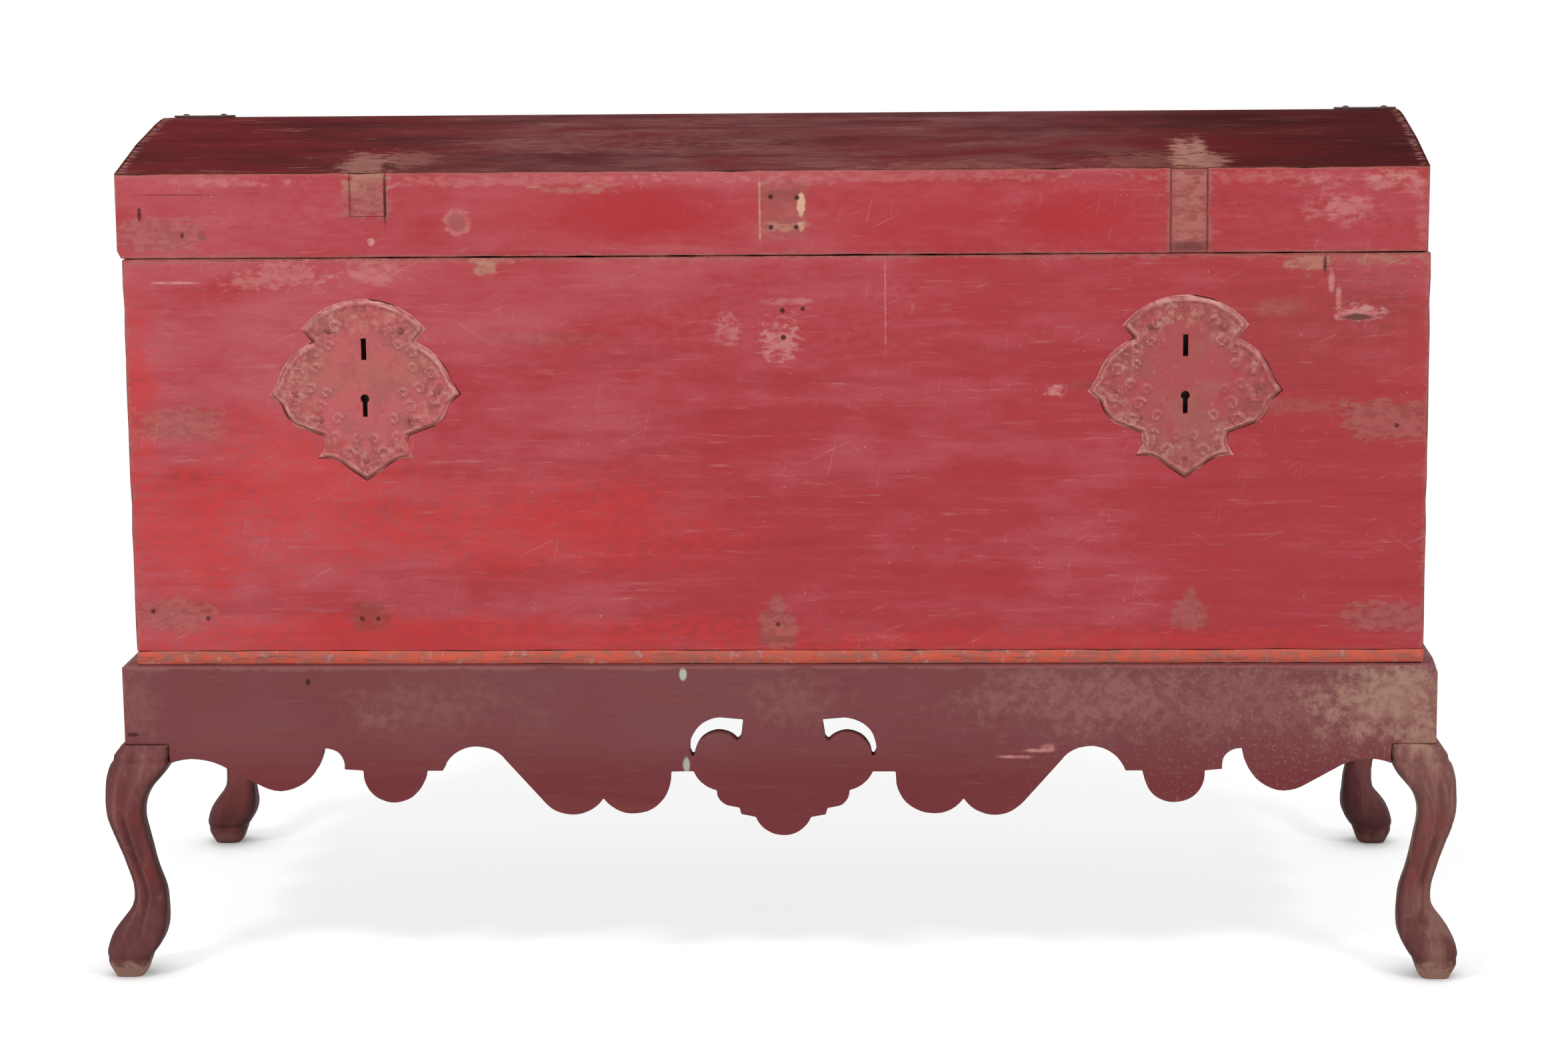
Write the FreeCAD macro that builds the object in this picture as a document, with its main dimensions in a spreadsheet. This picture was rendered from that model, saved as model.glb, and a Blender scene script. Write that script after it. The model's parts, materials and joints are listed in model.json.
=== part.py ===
import FreeCAD, Part
import math
import os

from FreeCAD import Placement, Rotation, Vector

# A dome top chest on a stand. The chest is a case of boards under a hinged lid of staves, with two
# locks behind ornamental iron plates. The stand is a frame of sawn aprons on four curved legs.
# The origin is on the floor under the middle of the chest, X along its length, the front at -Y.

doc = FreeCAD.newDocument("dome_top_chest")

# Driving sizes in millimetres
SIZES = {
    # case
    "case_length": 1600,
    "case_depth": 640,
    "wall_height": 491,
    "wall": 20,
    "bottom_thickness": 17,
    "rebate": 10,
    # stand
    "stand_height": 394,
    "stand_ledge": 16,
    "apron_thickness": 24,
    "apron_band": 99,
    "apron_drop": 216,
    "lobe_centre": 486,
    "pattern_shift": 8,
    "bearer_width": 60,
    "bearer_depth": 40,
    # legs
    "knee_width": 55,
    "ear_gap": 0.3,
    "post_width": 36,
    # lid
    "lid_past_case": 3,
    "lid_shift": 4.5,
    "lid_gap": 0.8,
    "rail_height": 104,
    "dome_rise": 50,
    "stave_thickness": 16,
    "rib_thickness": 22,
    "rib_depth": 34,
    "hasp_past_lock": 3,
    "hasp_width": 44,
    "hasp_depth": 2,
    "filled_hasp_past_lock": 10,
    "filled_hasp_depth": 0.8,
    "filled_hasp_height": 53,
    # lock openings in the front
    "slot_below_top": 112,
    "slot_width": 6.6,
    "slot_height": 27,
    "key_below_slot": 61.5,
    "keyhole_radius": 5.5,
    "keyhole_slit": 6,
    "keyhole_height": 28,
    # lock plate
    "plate_half_height": 113,
    "plate_below_slot": 51,
    "plate_thickness": 1.5,
    # lock works behind the front
    "lock_width": 120,
    "lock_height": 132,
    "lock_depth": 18,
    "lock_sheet": 2,
    "lock_above_slot": 32,
    "lock_ear": 14,
    "bolt_end_gap": 4,
    "bolt_height": 12,
    "bolt_thickness": 6,
    "bolt_setback": 8,
    "bolt_travel": 22,
    "guide_thickness": 6,
    "guide_height": 24,
    "guide_setback": 22,
    "catch_offset": 10,
    "slide_gap": 0.3,
    "tail_width": 8,
    "tail_setback": 10,
    "foot_length": 30,
    "foot_height": 8,
    "foot_above_key": 15.5,
    "notch_width": 10,
    "notch_depth": 5,
    "key_pin_radius": 2,
    "key_pin_setback": 3,
    "spring_thickness": 1.2,
    "spring_width": 5,
    "spring_setback": 11,
    "spring_end_gap": 3,
    "spring_foot": 14,
    # hinges
    "hinge_from_end": 44,
    "strap_width": 46,
    "strap_thickness": 2.5,
    "terminal_width": 80,
    "terminal_length": 62,
    "terminal_nail_offset": 24.5,
    "strap_past_ridge": 10,
    "leaf_length": 95,
    "barrel_radius": 6,
    "barrel_stand_off": 0.5,
    "knuckle_gap": 0.4,
    "notch_gap": 1,
    "pin_radius": 3,
    "pin_running_gap": 0.06,
    "pin_overhang": 2,
    # nails
    "nail_radius": 1.5,
    "nail_length": 13,
    "nail_head_radius": 5,
    "nail_head_height": 2,
    "board_nail_length": 36,
    "board_nail_head_radius": 3.2,
    "board_nail_head_height": 0.8,
    # how far a cutter runs past what it cuts
    "overrun": 5,
}

sheet = doc.addObject("Spreadsheet::Sheet", "sizes")
for row, (name, value) in enumerate(SIZES.items(), start=1):
    sheet.set(f"A{row}", name)
    sheet.set(f"B{row}", str(value))
    sheet.setAlias(f"B{row}", name)
doc.recompute()

# Places along the case, as shares of its length from the middle
lock_place_share = 0.315
rib_place_share = 0.16875
bearer_place_share = 0.2375

# Planes that several pieces share, as expressions over the sheet
FRONT = "(-sizes.case_depth / 2)"
BACK = "(sizes.case_depth / 2)"
LEFT = "(-sizes.case_length / 2)"
RIGHT = "(sizes.case_length / 2)"
CASE_FLOOR = "(sizes.stand_height + sizes.bottom_thickness)"
CASE_TOP = f"({CASE_FLOOR} + sizes.wall_height)"
LID_FLOOR = f"({CASE_TOP} + sizes.lid_gap)"
EAVES = f"({LID_FLOOR} + sizes.rail_height)"
RIDGE = f"({EAVES} + sizes.dome_rise)"
LID_LEFT = f"({LEFT} - sizes.lid_past_case / 2 - sizes.lid_shift)"
LID_RIGHT = f"({RIGHT} + sizes.lid_past_case / 2 - sizes.lid_shift)"
STAND_X = f"({RIGHT} + sizes.stand_ledge)"
STAND_Y = f"({BACK} + sizes.stand_ledge)"
KNEE_TOP = "(sizes.stand_height - sizes.apron_band)"
SLOT_Z = f"({CASE_TOP} - sizes.slot_below_top)"
KEY_Z = f"({SLOT_Z} - sizes.key_below_slot)"
AXIS_Y = f"({BACK} + sizes.barrel_stand_off + sizes.barrel_radius)"
AXIS_Z = f"({CASE_TOP} + sizes.lid_gap / 2)"

ALONG_X = Rotation(Vector(0, 0, 1), Vector(1, 0, 0))
ALONG_Y = Rotation(Vector(0, 0, 1), Vector(0, 1, 0))
# Sketch planes: sideways and up for a face seen from the front, depth and up for one seen from the end
FRONT_PLANE = Rotation(Vector(1, 0, 0), Vector(0, 0, 1), Vector(0, -1, 0))
END_PLANE = Rotation(Vector(0, 1, 0), Vector(0, 0, 1), Vector(1, 0, 0))

pieces = []


def mm(expression):
    """The value of an expression over the sheet."""
    return float(sheet.evalExpression(str(expression)))


def piece(thing, label):
    """Marks a finished sub-part and gives it the name of its file."""
    thing.Label = label
    pieces.append(thing)
    return thing


def both_ways(share):
    """A place on each side of the middle, at a share of the case's length, as expressions."""
    return {"left": f"(-{share} * sizes.case_length)", "right": f"({share} * sizes.case_length)"}


def about(middle, width):
    """Two planes a width apart about a middle, as expressions."""
    return f"{middle} - ({width}) / 2", f"{middle} + ({width}) / 2"


def block(name, across, deep, high):
    """A box between two planes along X, Y and Z, each plane an expression."""
    box = doc.addObject("Part::Box", name)
    for side, axis, (low, top) in zip(("Length", "Width", "Height"), "xyz", (across, deep, high)):
        box.setExpression(side, f"({top}) - ({low})")
        box.setExpression(f"Placement.Base.{axis}", low)
    return box


def rod(name, radius, length, start, turn):
    """A round bar of an expression's radius and length, from a starting point along a turned Z."""
    bar = doc.addObject("Part::Cylinder", name)
    bar.Placement = Placement(Vector(), turn)
    bar.setExpression("Radius", radius)
    bar.setExpression("Height", length)
    for axis, place in zip("xyz", start):
        bar.setExpression(f"Placement.Base.{axis}", place)
    return bar


def joined(name, *parts):
    """Parts fused into one solid."""
    whole = doc.addObject("Part::MultiFuse", name)
    whole.Shapes = list(parts)
    return whole


def less(name, base, *tools):
    """A base with tools cut away."""
    cut = doc.addObject("Part::Cut", name)
    cut.Base = base
    cut.Tool = tools[0] if len(tools) == 1 else joined(f"{name}_cutters", *tools)
    return cut


def common(name, first, second):
    """What two shapes share."""
    shared = doc.addObject("Part::MultiCommon", name)
    shared.Shapes = [first, second]
    return shared


def shaped(name, shape):
    """A shape worked out in code."""
    feature = doc.addObject("Part::Feature", name)
    feature.Shape = shape
    return feature


def edges(run):
    """Edges along a run of points: two numbers step straight there, four go by way of the first two."""
    here, made = run[0], []
    for step in run[1:]:
        ends = [Vector(*here, 0)] + [Vector(*step[i:i + 2], 0) for i in range(0, len(step), 2)]
        made.append(Part.LineSegment(*ends) if len(step) == 2 else Part.Arc(*ends))
        here = step[-2:]
    return made


def mirrored(run):
    """The same run on the other side of the centre line, walked from its end back to its start."""
    flipped = [tuple(-v if i % 2 == 0 else v for i, v in enumerate(step)) for step in run]
    back = [flipped[-1][-2:]]
    for before, step in zip(flipped[-2::-1], flipped[::-1]):
        back.append(step[:-2] + before[-2:])
    return back


def moved(run, across, up=0):
    """The same run somewhere else."""
    return [tuple(v + (up if i % 2 else across) for i, v in enumerate(step)) for step in run]


def sawn(name, run, plane, at, thickness):
    """A board sawn to a closed run, its sketch on a plane at an expression along the plane's normal."""
    sketch = doc.addObject("Sketcher::SketchObject", f"{name}_outline")
    sketch.addGeometry(edges(run), False)
    sketch.Placement = Placement(Vector(), plane)
    axis = "y" if plane == FRONT_PLANE else "x"
    sketch.setExpression(f"Placement.Base.{axis}", at)
    board = doc.addObject("Part::Extrusion", name)
    board.Base = sketch
    board.DirMode = "Custom"
    board.Dir = Vector(0, 1, 0) if plane == FRONT_PLANE else Vector(1, 0, 0)
    board.setExpression("LengthFwd", thickness)
    board.Solid = True
    return board


# Nails: a domed head on a short shank, its head's underside at the origin and its point down
def nail(length, head_radius, head_height):
    """One nail turned about Z, its head the cap of a ball."""
    shank = mm("sizes.nail_radius")
    ball = (head_radius ** 2 + head_height ** 2) / (2 * head_height)
    half_turn = math.asin(head_radius / ball) / 2
    shoulder = (ball * math.sin(half_turn), head_height - ball + ball * math.cos(half_turn))
    run = [
        (0, -length), (shank, -length + shank), (shank, 0), (head_radius, 0),
        shoulder + (0, head_height), (0, -length),
    ]
    profile = Part.Face(Part.Wire([edge.toShape() for edge in edges(run)]))
    profile.rotate(Vector(), Vector(1, 0, 0), 90)
    return profile.revolve(Vector(), Vector(0, 0, 1), 360)


def nails(name, kind, places):
    """A group of nails, each driven at a point against the way its head faces."""
    group = []
    for at, facing in places:
        one = kind.copy()
        one.Placement = Placement(Vector(*at), Rotation(Vector(0, 0, 1), Vector(*facing)))
        group.append(one)
    return piece(shaped(name, Part.makeCompound(group)), name)


STRAP_NAIL = nail(mm("sizes.nail_length"), mm("sizes.nail_head_radius"), mm("sizes.nail_head_height"))
BOARD_NAIL = nail(
    mm("sizes.board_nail_length"), mm("sizes.board_nail_head_radius"), mm("sizes.board_nail_head_height")
)
TOWARDS_FRONT, TOWARDS_BACK, DOWN = (0, -1, 0), (0, 1, 0), (0, 0, -1)


# The case: two long walls rebated over two end boards, nailed down on the bottom board
def lock_openings(side, x):
    """Cutters for the hasp's staple slot and the keyhole, through plate and wall."""
    through = (f"{FRONT} - sizes.plate_thickness - sizes.overrun", f"{FRONT} + sizes.wall + sizes.overrun")
    slot_high = about(SLOT_Z, "sizes.slot_height")
    slot = block(f"slot_cutter_{side}", about(x, "sizes.slot_width"), through, slot_high)
    start, length = (x, through[0], KEY_Z), f"({through[1]}) - ({through[0]})"
    round_hole = rod(f"key_cutter_{side}", "sizes.keyhole_radius", length, start, ALONG_Y)
    slit_high = (f"{KEY_Z} + sizes.keyhole_radius - sizes.keyhole_height", KEY_Z)
    slit = block(f"slit_cutter_{side}", about(x, "sizes.keyhole_slit"), through, slit_high)
    return joined(f"lock_cutter_{side}", slot, round_hole, slit)


def rebate_cutters(name, left, right, deep, high):
    """The two housings in a long board's ends, from its inner face, for the end boards."""
    return [
        block(f"{name}_rebate_left", (f"{left} - sizes.overrun", f"{left} + sizes.wall"), deep, high),
        block(f"{name}_rebate_right", (f"{right} - sizes.wall", f"{right} + sizes.overrun"), deep, high),
    ]


LOCK_X = both_ways(lock_place_share)
HASP_X = f"({LOCK_X['right']} + sizes.hasp_past_lock)"
FILLED_HASP_X = f"({LOCK_X['left']} + sizes.filled_hasp_past_lock)"
OPENINGS = {side: lock_openings(side, x) for side, x in LOCK_X.items()}
FRONT_HOUSING = (f"{FRONT} + sizes.rebate", f"{FRONT} + sizes.wall + sizes.overrun")
BACK_HOUSING = (f"{BACK} - sizes.wall - sizes.overrun", f"{BACK} - sizes.rebate")
PAST_CASE = (f"{CASE_FLOOR} - sizes.overrun", f"{CASE_TOP} + sizes.overrun")


def make_case():
    whole, high = (LEFT, RIGHT), (CASE_FLOOR, CASE_TOP)
    piece(block("bottom", whole, (FRONT, BACK), ("sizes.stand_height", CASE_FLOOR)), "bottom_board")
    plank = block("front_plank", whole, (FRONT, f"{FRONT} + sizes.wall"), high)
    housings = rebate_cutters("front_wall", *whole, FRONT_HOUSING, PAST_CASE)
    piece(less("front_wall", plank, *housings, *OPENINGS.values()), "front_board")
    plank = block("back_plank", whole, (f"{BACK} - sizes.wall", BACK), high)
    housings = rebate_cutters("back_wall", *whole, BACK_HOUSING, PAST_CASE)
    piece(less("back_wall", plank, *housings), "back_board")
    between = (f"{FRONT} + sizes.rebate", f"{BACK} - sizes.rebate")
    ends = {"left": (LEFT, f"{LEFT} + sizes.wall"), "right": (f"{RIGHT} - sizes.wall", RIGHT)}
    for side, across in ends.items():
        piece(block(f"end_{side}", across, between, high), f"end_board_{side}")


nail_row_shares = (-0.9, -0.54, -0.18, 0.18, 0.54, 0.9)


def make_case_nails():
    """Nails from below, sunk in the bottom board, up into the long walls."""
    flush = mm("sizes.stand_height") + mm("sizes.board_nail_head_height")
    row_y = mm(f"{BACK} - sizes.wall / 2")
    places = [((share * mm(RIGHT), y, flush), DOWN) for share in nail_row_shares for y in (-row_y, row_y)]
    nails("bottom_nails", BOARD_NAIL, places)


# The lid's section, from eaves to ridge: outer joints of the staves as shares of depth and rise
joint_depth_shares = (0.0, 0.2, 0.4)
joint_rise_shares = (0.0, 0.52, 0.9)


def crown(y, extra=0.0):
    """Height of the top stave's curved back at a depth from the ridge, on a circle through its edges."""
    half = (0.5 - joint_depth_shares[2]) * mm("sizes.case_depth")
    rise = (1 - joint_rise_shares[2]) * mm("sizes.dome_rise")
    radius = (half ** 2 + rise ** 2) / (2 * rise)
    return mm(RIDGE) - radius + math.sqrt((radius + extra) ** 2 - y ** 2)


def along(a, b, distance):
    """The point at a depth on the line through a and b."""
    return (distance, a[1] + (b[1] - a[1]) * (distance - a[0]) / (b[0] - a[0]))


def lid_section():
    """Outer and inner joint points of the front half of the dome, eaves first."""
    depth, thick = mm("sizes.case_depth"), mm("sizes.stave_thickness")
    outer = [
        (mm(FRONT) + across * depth, mm(EAVES) + up * mm("sizes.dome_rise"))
        for across, up in zip(joint_depth_shares, joint_rise_shares)
    ]
    lines = []
    for (ay, az), (by, bz) in zip(outer, outer[1:]):
        run = math.hypot(by - ay, bz - az)
        inward = ((bz - az) / run * thick, -(by - ay) / run * thick)
        lines.append(((ay + inward[0], az + inward[1]), (by + inward[0], bz + inward[1])))
    eaves = along(*lines[0], mm(f"{FRONT} + sizes.wall"))
    slopes = [(b[1] - a[1]) / (b[0] - a[0]) for a, b in lines]
    (ay, az), (by, bz) = lines[0][0], lines[1][0]
    meet = (bz - az + slopes[0] * ay - slopes[1] * by) / (slopes[0] - slopes[1])
    knee = along(*lines[0], meet)
    flat = outer[2][1] - thick
    top = (lines[1][0][0] + (flat - lines[1][0][1]) / slopes[1], flat)
    return outer, [eaves, knee, top]


OUTER, INNER = lid_section()


def lengthwise(name, run):
    """A lid member of one section, as long as the lid."""
    return sawn(name, run + [run[0]], END_PLANE, LID_LEFT, f"{LID_RIGHT} - {LID_LEFT}")


def hasp_cutter(name, x, high, depth):
    """The shallow bed that a hasp's strap left in the front rail."""
    return block(name, about(x, "sizes.hasp_width"), (f"{FRONT} - sizes.overrun", f"{FRONT} + {depth}"), high)


def make_lid():
    low = mm(LID_FLOOR)
    rail = [(mm(FRONT), low), OUTER[0], INNER[0], (INNER[0][0], low)]
    past_lid = (f"{LID_FLOOR} - sizes.overrun", RIDGE)
    half_filled = (f"{EAVES} - sizes.filled_hasp_height", RIDGE)
    beds = [
        hasp_cutter("hasp_bed", HASP_X, past_lid, "sizes.hasp_depth"),
        hasp_cutter("old_hasp_bed", FILLED_HASP_X, half_filled, "sizes.filled_hasp_depth"),
    ]
    housings = rebate_cutters("front_rail", LID_LEFT, LID_RIGHT, FRONT_HOUSING, past_lid)
    piece(less("front_rail", lengthwise("front_rail_plank", rail), *housings, *beds), "lid_front_rail")
    housings = rebate_cutters("back_rail", LID_LEFT, LID_RIGHT, BACK_HOUSING, past_lid)
    piece(less("back_rail", lengthwise("back_rail_plank", mirrored(rail)), *housings), "lid_back_rail")

    under = [(mm(f"{FRONT} + sizes.rebate"), low)]
    under.append(along(OUTER[0], INNER[0], under[0][0]))
    under += INNER
    end = under + mirrored(under) + [under[0]]
    piece(sawn("lid_end_1", end, END_PLANE, LID_LEFT, "sizes.wall"), "lid_end_left")
    piece(sawn("lid_end_2", end, END_PLANE, f"{LID_RIGHT} - sizes.wall", "sizes.wall"), "lid_end_right")

    arch = [(INNER[0][0], INNER[0][1] - mm("sizes.rib_depth"))] + INNER
    rib = arch + mirrored(arch) + [arch[0]]
    for side, x in both_ways(rib_place_share).items():
        start = about(x, "sizes.rib_thickness")[0]
        piece(sawn(f"rib_{side}", rib, END_PLANE, start, "sizes.rib_thickness"), f"lid_rib_{side}")

    top = [INNER[2], OUTER[2], (0, mm(RIDGE)) + mirrored([OUTER[2]])[0], mirrored([INNER[2]])[0]]
    for place, first in (("", 0), ("upper_", 1)):
        run = [OUTER[first], OUTER[first + 1], INNER[first + 1], INNER[first]]
        piece(lengthwise(f"{place}front_stave", run), f"dome_stave_{place}front")
        piece(lengthwise(f"{place}back_stave", mirrored(run)), f"dome_stave_{place}back")
    piece(lengthwise("stave_top", top), "dome_stave_top")


def facet_normal(low, high):
    """The way a facet of the dome faces, from two of its joint points, front half."""
    run = math.hypot(high[0] - low[0], high[1] - low[1])
    return (0, -(high[1] - low[1]) / run, (high[0] - low[0]) / run)


stave_nail_shares = (0.22, 0.78)
# the top stave's own nails keep clear of the hinge straps' bulbs
top_nail_shares = (0.08, 0.92)


def make_dome_nails():
    """Small nails through the staves into the end boards."""
    rows = [mm(f"{LID_LEFT} + sizes.wall / 2"), mm(f"{LID_RIGHT} - sizes.wall / 2")]
    places = []
    for share_across, top_share in zip(stave_nail_shares, top_nail_shares):
        for low, high in zip(OUTER, OUTER[1:]):
            y = low[0] + share_across * (high[0] - low[0])
            z = along(low, high, y)[1]
            _, lean, up = facet_normal(low, high)
            places += [((x, y, z), (0, lean, up)) for x in rows]
            places += [((x, -y, z), (0, -lean, up)) for x in rows]
        y = OUTER[2][0] * (1 - 2 * top_share)
        places += [((x, y, crown(y)), (0, 0, 1)) for x in rows]
    nails("dome_nails", BOARD_NAIL, places)


# Ornamental lock plates: half an outline from top to foot, as shares of half the height
plate_outline_shares = [
    (0.0, 1.0), (0.354, 0.925, 0.681, 0.673), (0.558, 0.531), (0.805, 0.363, 0.956, 0.097),
    (1.053, -0.044), (0.912, -0.168), (0.858, -0.292, 0.761, -0.398), (0.469, -0.504),
    (0.451, -0.619), (0.531, -0.752), (0.354, -0.77, 0.195, -0.867), (0.0, -1.0),
]
# The nails that hold a plate, as shares of half the height from its middle
plate_nail_shares = [
    (-0.38, 0.66), (0.41, 0.65), (-0.76, -0.03), (0.78, -0.03), (-0.5, -0.33), (0.5, -0.33), (0.0, -0.77)
]


def make_lock_plates():
    half = mm("sizes.plate_half_height")
    middle = mm(f"{SLOT_Z} - sizes.plate_below_slot")
    run = [tuple(share * half for share in step) for step in plate_outline_shares]
    whole = run + mirrored(run)[1:]
    face = f"{FRONT} - sizes.plate_thickness"
    places = []
    for side, x in LOCK_X.items():
        plate = sawn(f"plate_{side}", moved(whole, mm(x), middle), FRONT_PLANE, face, "sizes.plate_thickness")
        piece(less(f"pierced_plate_{side}", plate, OPENINGS[side]), f"lock_plate_{side}")
        for across, up in plate_nail_shares:
            places.append(((mm(x) + across * half, mm(face), middle + up * half), TOWARDS_FRONT))
    nails("lock_plate_nails", STRAP_NAIL, places)


# Lock works: an iron tray on the wall's inner face, with a bolt that a key slides across the slot
WALL_BACK = f"({FRONT} + sizes.wall)"
LOCK_BACK = f"({WALL_BACK} + sizes.lock_depth)"
TRAY_BACK = f"({LOCK_BACK} - sizes.lock_sheet)"
LOCK_HIGH = f"({SLOT_Z} + sizes.lock_above_slot)"
LOCK_LOW = f"({LOCK_HIGH} - sizes.lock_height)"
TRAY_HALF = "(sizes.lock_width / 2 - sizes.lock_sheet)"
BOLT_LOW = f"({SLOT_Z} - sizes.bolt_height / 2)"
BOLT_HIGH = f"({SLOT_Z} + sizes.bolt_height / 2)"
BOLT_BACK = f"({TRAY_BACK} - sizes.slide_gap)"
BOLT_FRONT = f"({BOLT_BACK} - sizes.bolt_thickness)"


def guide(side, name, start):
    """A staple on the tray's back that the bolt slides through."""
    body = block(
        f"{name}_{side}",
        (start, f"{start} + sizes.guide_thickness"),
        (f"{BOLT_FRONT} - sizes.slide_gap - sizes.lock_sheet", TRAY_BACK),
        about(SLOT_Z, "sizes.guide_height"),
    )
    window = block(
        f"{name}_window_{side}",
        (f"{start} - sizes.overrun", f"{start} + sizes.guide_thickness + sizes.overrun"),
        (f"{BOLT_FRONT} - sizes.slide_gap", TRAY_BACK),
        (f"{BOLT_LOW} - sizes.slide_gap", f"{BOLT_HIGH} + sizes.slide_gap"),
    )
    return less(f"{name}_staple_{side}", body, window)


def make_tray(side, x, bolt_tip):
    """The lock's case, an open tray with nailing ears and the bolt's two guides."""
    high = (LOCK_LOW, LOCK_HIGH)
    shell = block(f"tray_shell_{side}", about(x, "sizes.lock_width"), (WALL_BACK, LOCK_BACK), high)
    hollow = block(
        f"tray_hollow_{side}",
        about(x, f"2 * {TRAY_HALF}"),
        (f"{WALL_BACK} - sizes.overrun", TRAY_BACK),
        (f"{LOCK_LOW} + sizes.lock_sheet", f"{LOCK_HIGH} - sizes.lock_sheet"),
    )
    across = about(x, "sizes.lock_width + 2 * sizes.lock_ear")
    ears = block(f"tray_ears_{side}", across, (WALL_BACK, f"{WALL_BACK} + sizes.lock_sheet"), high)
    tray = less(f"tray_{side}", joined(f"tray_blank_{side}", shell, ears), hollow)
    near = guide(side, "near_guide", f"({bolt_tip} - sizes.guide_setback - sizes.guide_thickness)")
    catch = guide(side, "catch_guide", f"({x} + sizes.catch_offset)")
    piece(joined(f"lock_works_{side}", tray, near, catch), f"lock_case_{side}")


def make_bolt(side, x, bolt_tip):
    """The bolt, with a tail down to a foot whose notch the key's bit turns in."""
    deep = (BOLT_FRONT, BOLT_BACK)
    across = (f"{x} - {TRAY_HALF} + sizes.bolt_end_gap", bolt_tip)
    bar = block(f"bolt_bar_{side}", across, deep, (BOLT_LOW, BOLT_HIGH))
    foot_low = f"({KEY_Z} + sizes.foot_above_key)"
    tail_right = f"({bolt_tip} - sizes.tail_setback)"
    tail_left = f"({tail_right} - sizes.tail_width)"
    tail = block(f"bolt_tail_{side}", (tail_left, tail_right), deep, (foot_low, SLOT_Z))
    foot = block(
        f"bolt_foot_{side}",
        (tail_left, f"{tail_left} + sizes.foot_length"),
        deep,
        (foot_low, f"{foot_low} + sizes.foot_height"),
    )
    notch = block(
        f"notch_cutter_{side}",
        about(f"({x} - sizes.bolt_travel / 2)", "sizes.notch_width"),
        (f"{BOLT_FRONT} - sizes.overrun", f"{BOLT_BACK} + sizes.overrun"),
        (f"{foot_low} - sizes.overrun", f"{foot_low} + sizes.notch_depth"),
    )
    piece(less(f"bolt_{side}", joined(f"bolt_blank_{side}", bar, tail, foot), notch), f"lock_bolt_{side}")


def make_key_pin(side, x):
    """The pin that the hollow key turns on."""
    front_of_pin = f"({WALL_BACK} + sizes.key_pin_setback)"
    length, start = f"{TRAY_BACK} - {front_of_pin}", (x, front_of_pin, KEY_Z)
    piece(rod(f"pin_{side}", "sizes.key_pin_radius", length, start, ALONG_Y), f"key_pin_{side}")


def make_spring(side, x, bolt_tip):
    """A leaf spring from the tray's roof down to the bolt, which holds the bolt where it is put."""
    roof, thin = mm(f"{LOCK_HIGH} - sizes.lock_sheet"), mm("sizes.spring_thickness")
    tip_x, rest = mm(f"{bolt_tip} - sizes.spring_setback"), mm(f"{BOLT_HIGH} + sizes.slide_gap")
    end_x = mm(f"{x} + {TRAY_HALF} - sizes.spring_end_gap")
    bend_x = end_x - mm("sizes.spring_foot")
    leaf = [
        (tip_x, rest), (bend_x, roof - thin), (end_x, roof - thin),
        (end_x, roof), (bend_x, roof), (tip_x, rest + thin), (tip_x, rest),
    ]
    face = f"{TRAY_BACK} - sizes.slide_gap - sizes.spring_width"
    piece(sawn(f"spring_{side}", leaf, FRONT_PLANE, face, "sizes.spring_width"), f"bolt_spring_{side}")


def make_lock(side, x):
    bolt_tip = f"({x} - sizes.bolt_setback)"
    make_tray(side, x, bolt_tip)
    make_bolt(side, x, bolt_tip)
    make_key_pin(side, x)
    make_spring(side, x, bolt_tip)


def make_lock_case_nails():
    """Four nails through the ears of each tray."""
    out = mm("sizes.lock_width / 2 + sizes.lock_ear / 2")
    inset = mm("sizes.lock_ear")
    face = mm(f"{WALL_BACK} + sizes.lock_sheet")
    heights = (mm(LOCK_LOW) + inset, mm(LOCK_HIGH) - inset)
    columns = [mm(x) + way * out for x in LOCK_X.values() for way in (-1, 1)]
    places = [((column, face, z), TOWARDS_BACK) for column in columns for z in heights]
    nails("lock_case_nails", STRAP_NAIL, places)


# Hinges at the back: a leaf on the case, a strap over the dome to the ridge, and a pin
def knuckle(name, x, length, bore):
    """A barrel about the lid's axis, centred on x, and the cutter of its bore."""
    barrel = rod(name, "sizes.barrel_radius", length, (about(x, length)[0], AXIS_Y, AXIS_Z), ALONG_X)
    past = f"{length} + 2 * sizes.overrun"
    return barrel, rod(f"{name}_bore", bore, past, (about(x, past)[0], AXIS_Y, AXIS_Z), ALONG_X)


def strap_section():
    """The strap seen from the end: up the back rail, over two facets, and along the crown."""
    thick = mm("sizes.strap_thickness")
    eaves, knee, top = [(-y, z) for y, z in OUTER]
    low = mm(f"{AXIS_Z} + sizes.barrel_radius + sizes.notch_gap")
    tip = -mm("sizes.strap_past_ridge")
    halfway = (top[0] + tip) / 2

    def lifted(a, b):
        run = math.hypot(b[0] - a[0], b[1] - a[1])
        out = ((b[1] - a[1]) / run * thick, (a[0] - b[0]) / run * thick)
        return (a[0] + out[0], a[1] + out[1]), (b[0] + out[0], b[1] + out[1])

    first, second = lifted(eaves, knee), lifted(knee, top)
    corner = along(*first, eaves[0] + thick)
    bend = ((first[1][0] + second[0][0]) / 2, (first[1][1] + second[0][1]) / 2)
    inner = [(eaves[0], low), eaves, knee, top, (halfway, crown(halfway), tip, crown(tip))]
    raised = (halfway, crown(halfway, thick)) + second[1]
    outer = [(tip, crown(tip, thick)), raised, bend, corner, (corner[0], low), (eaves[0], low)]
    return inner + outer


terminal_tip_share = 0.12
terminal_neck_share = 0.42


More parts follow.
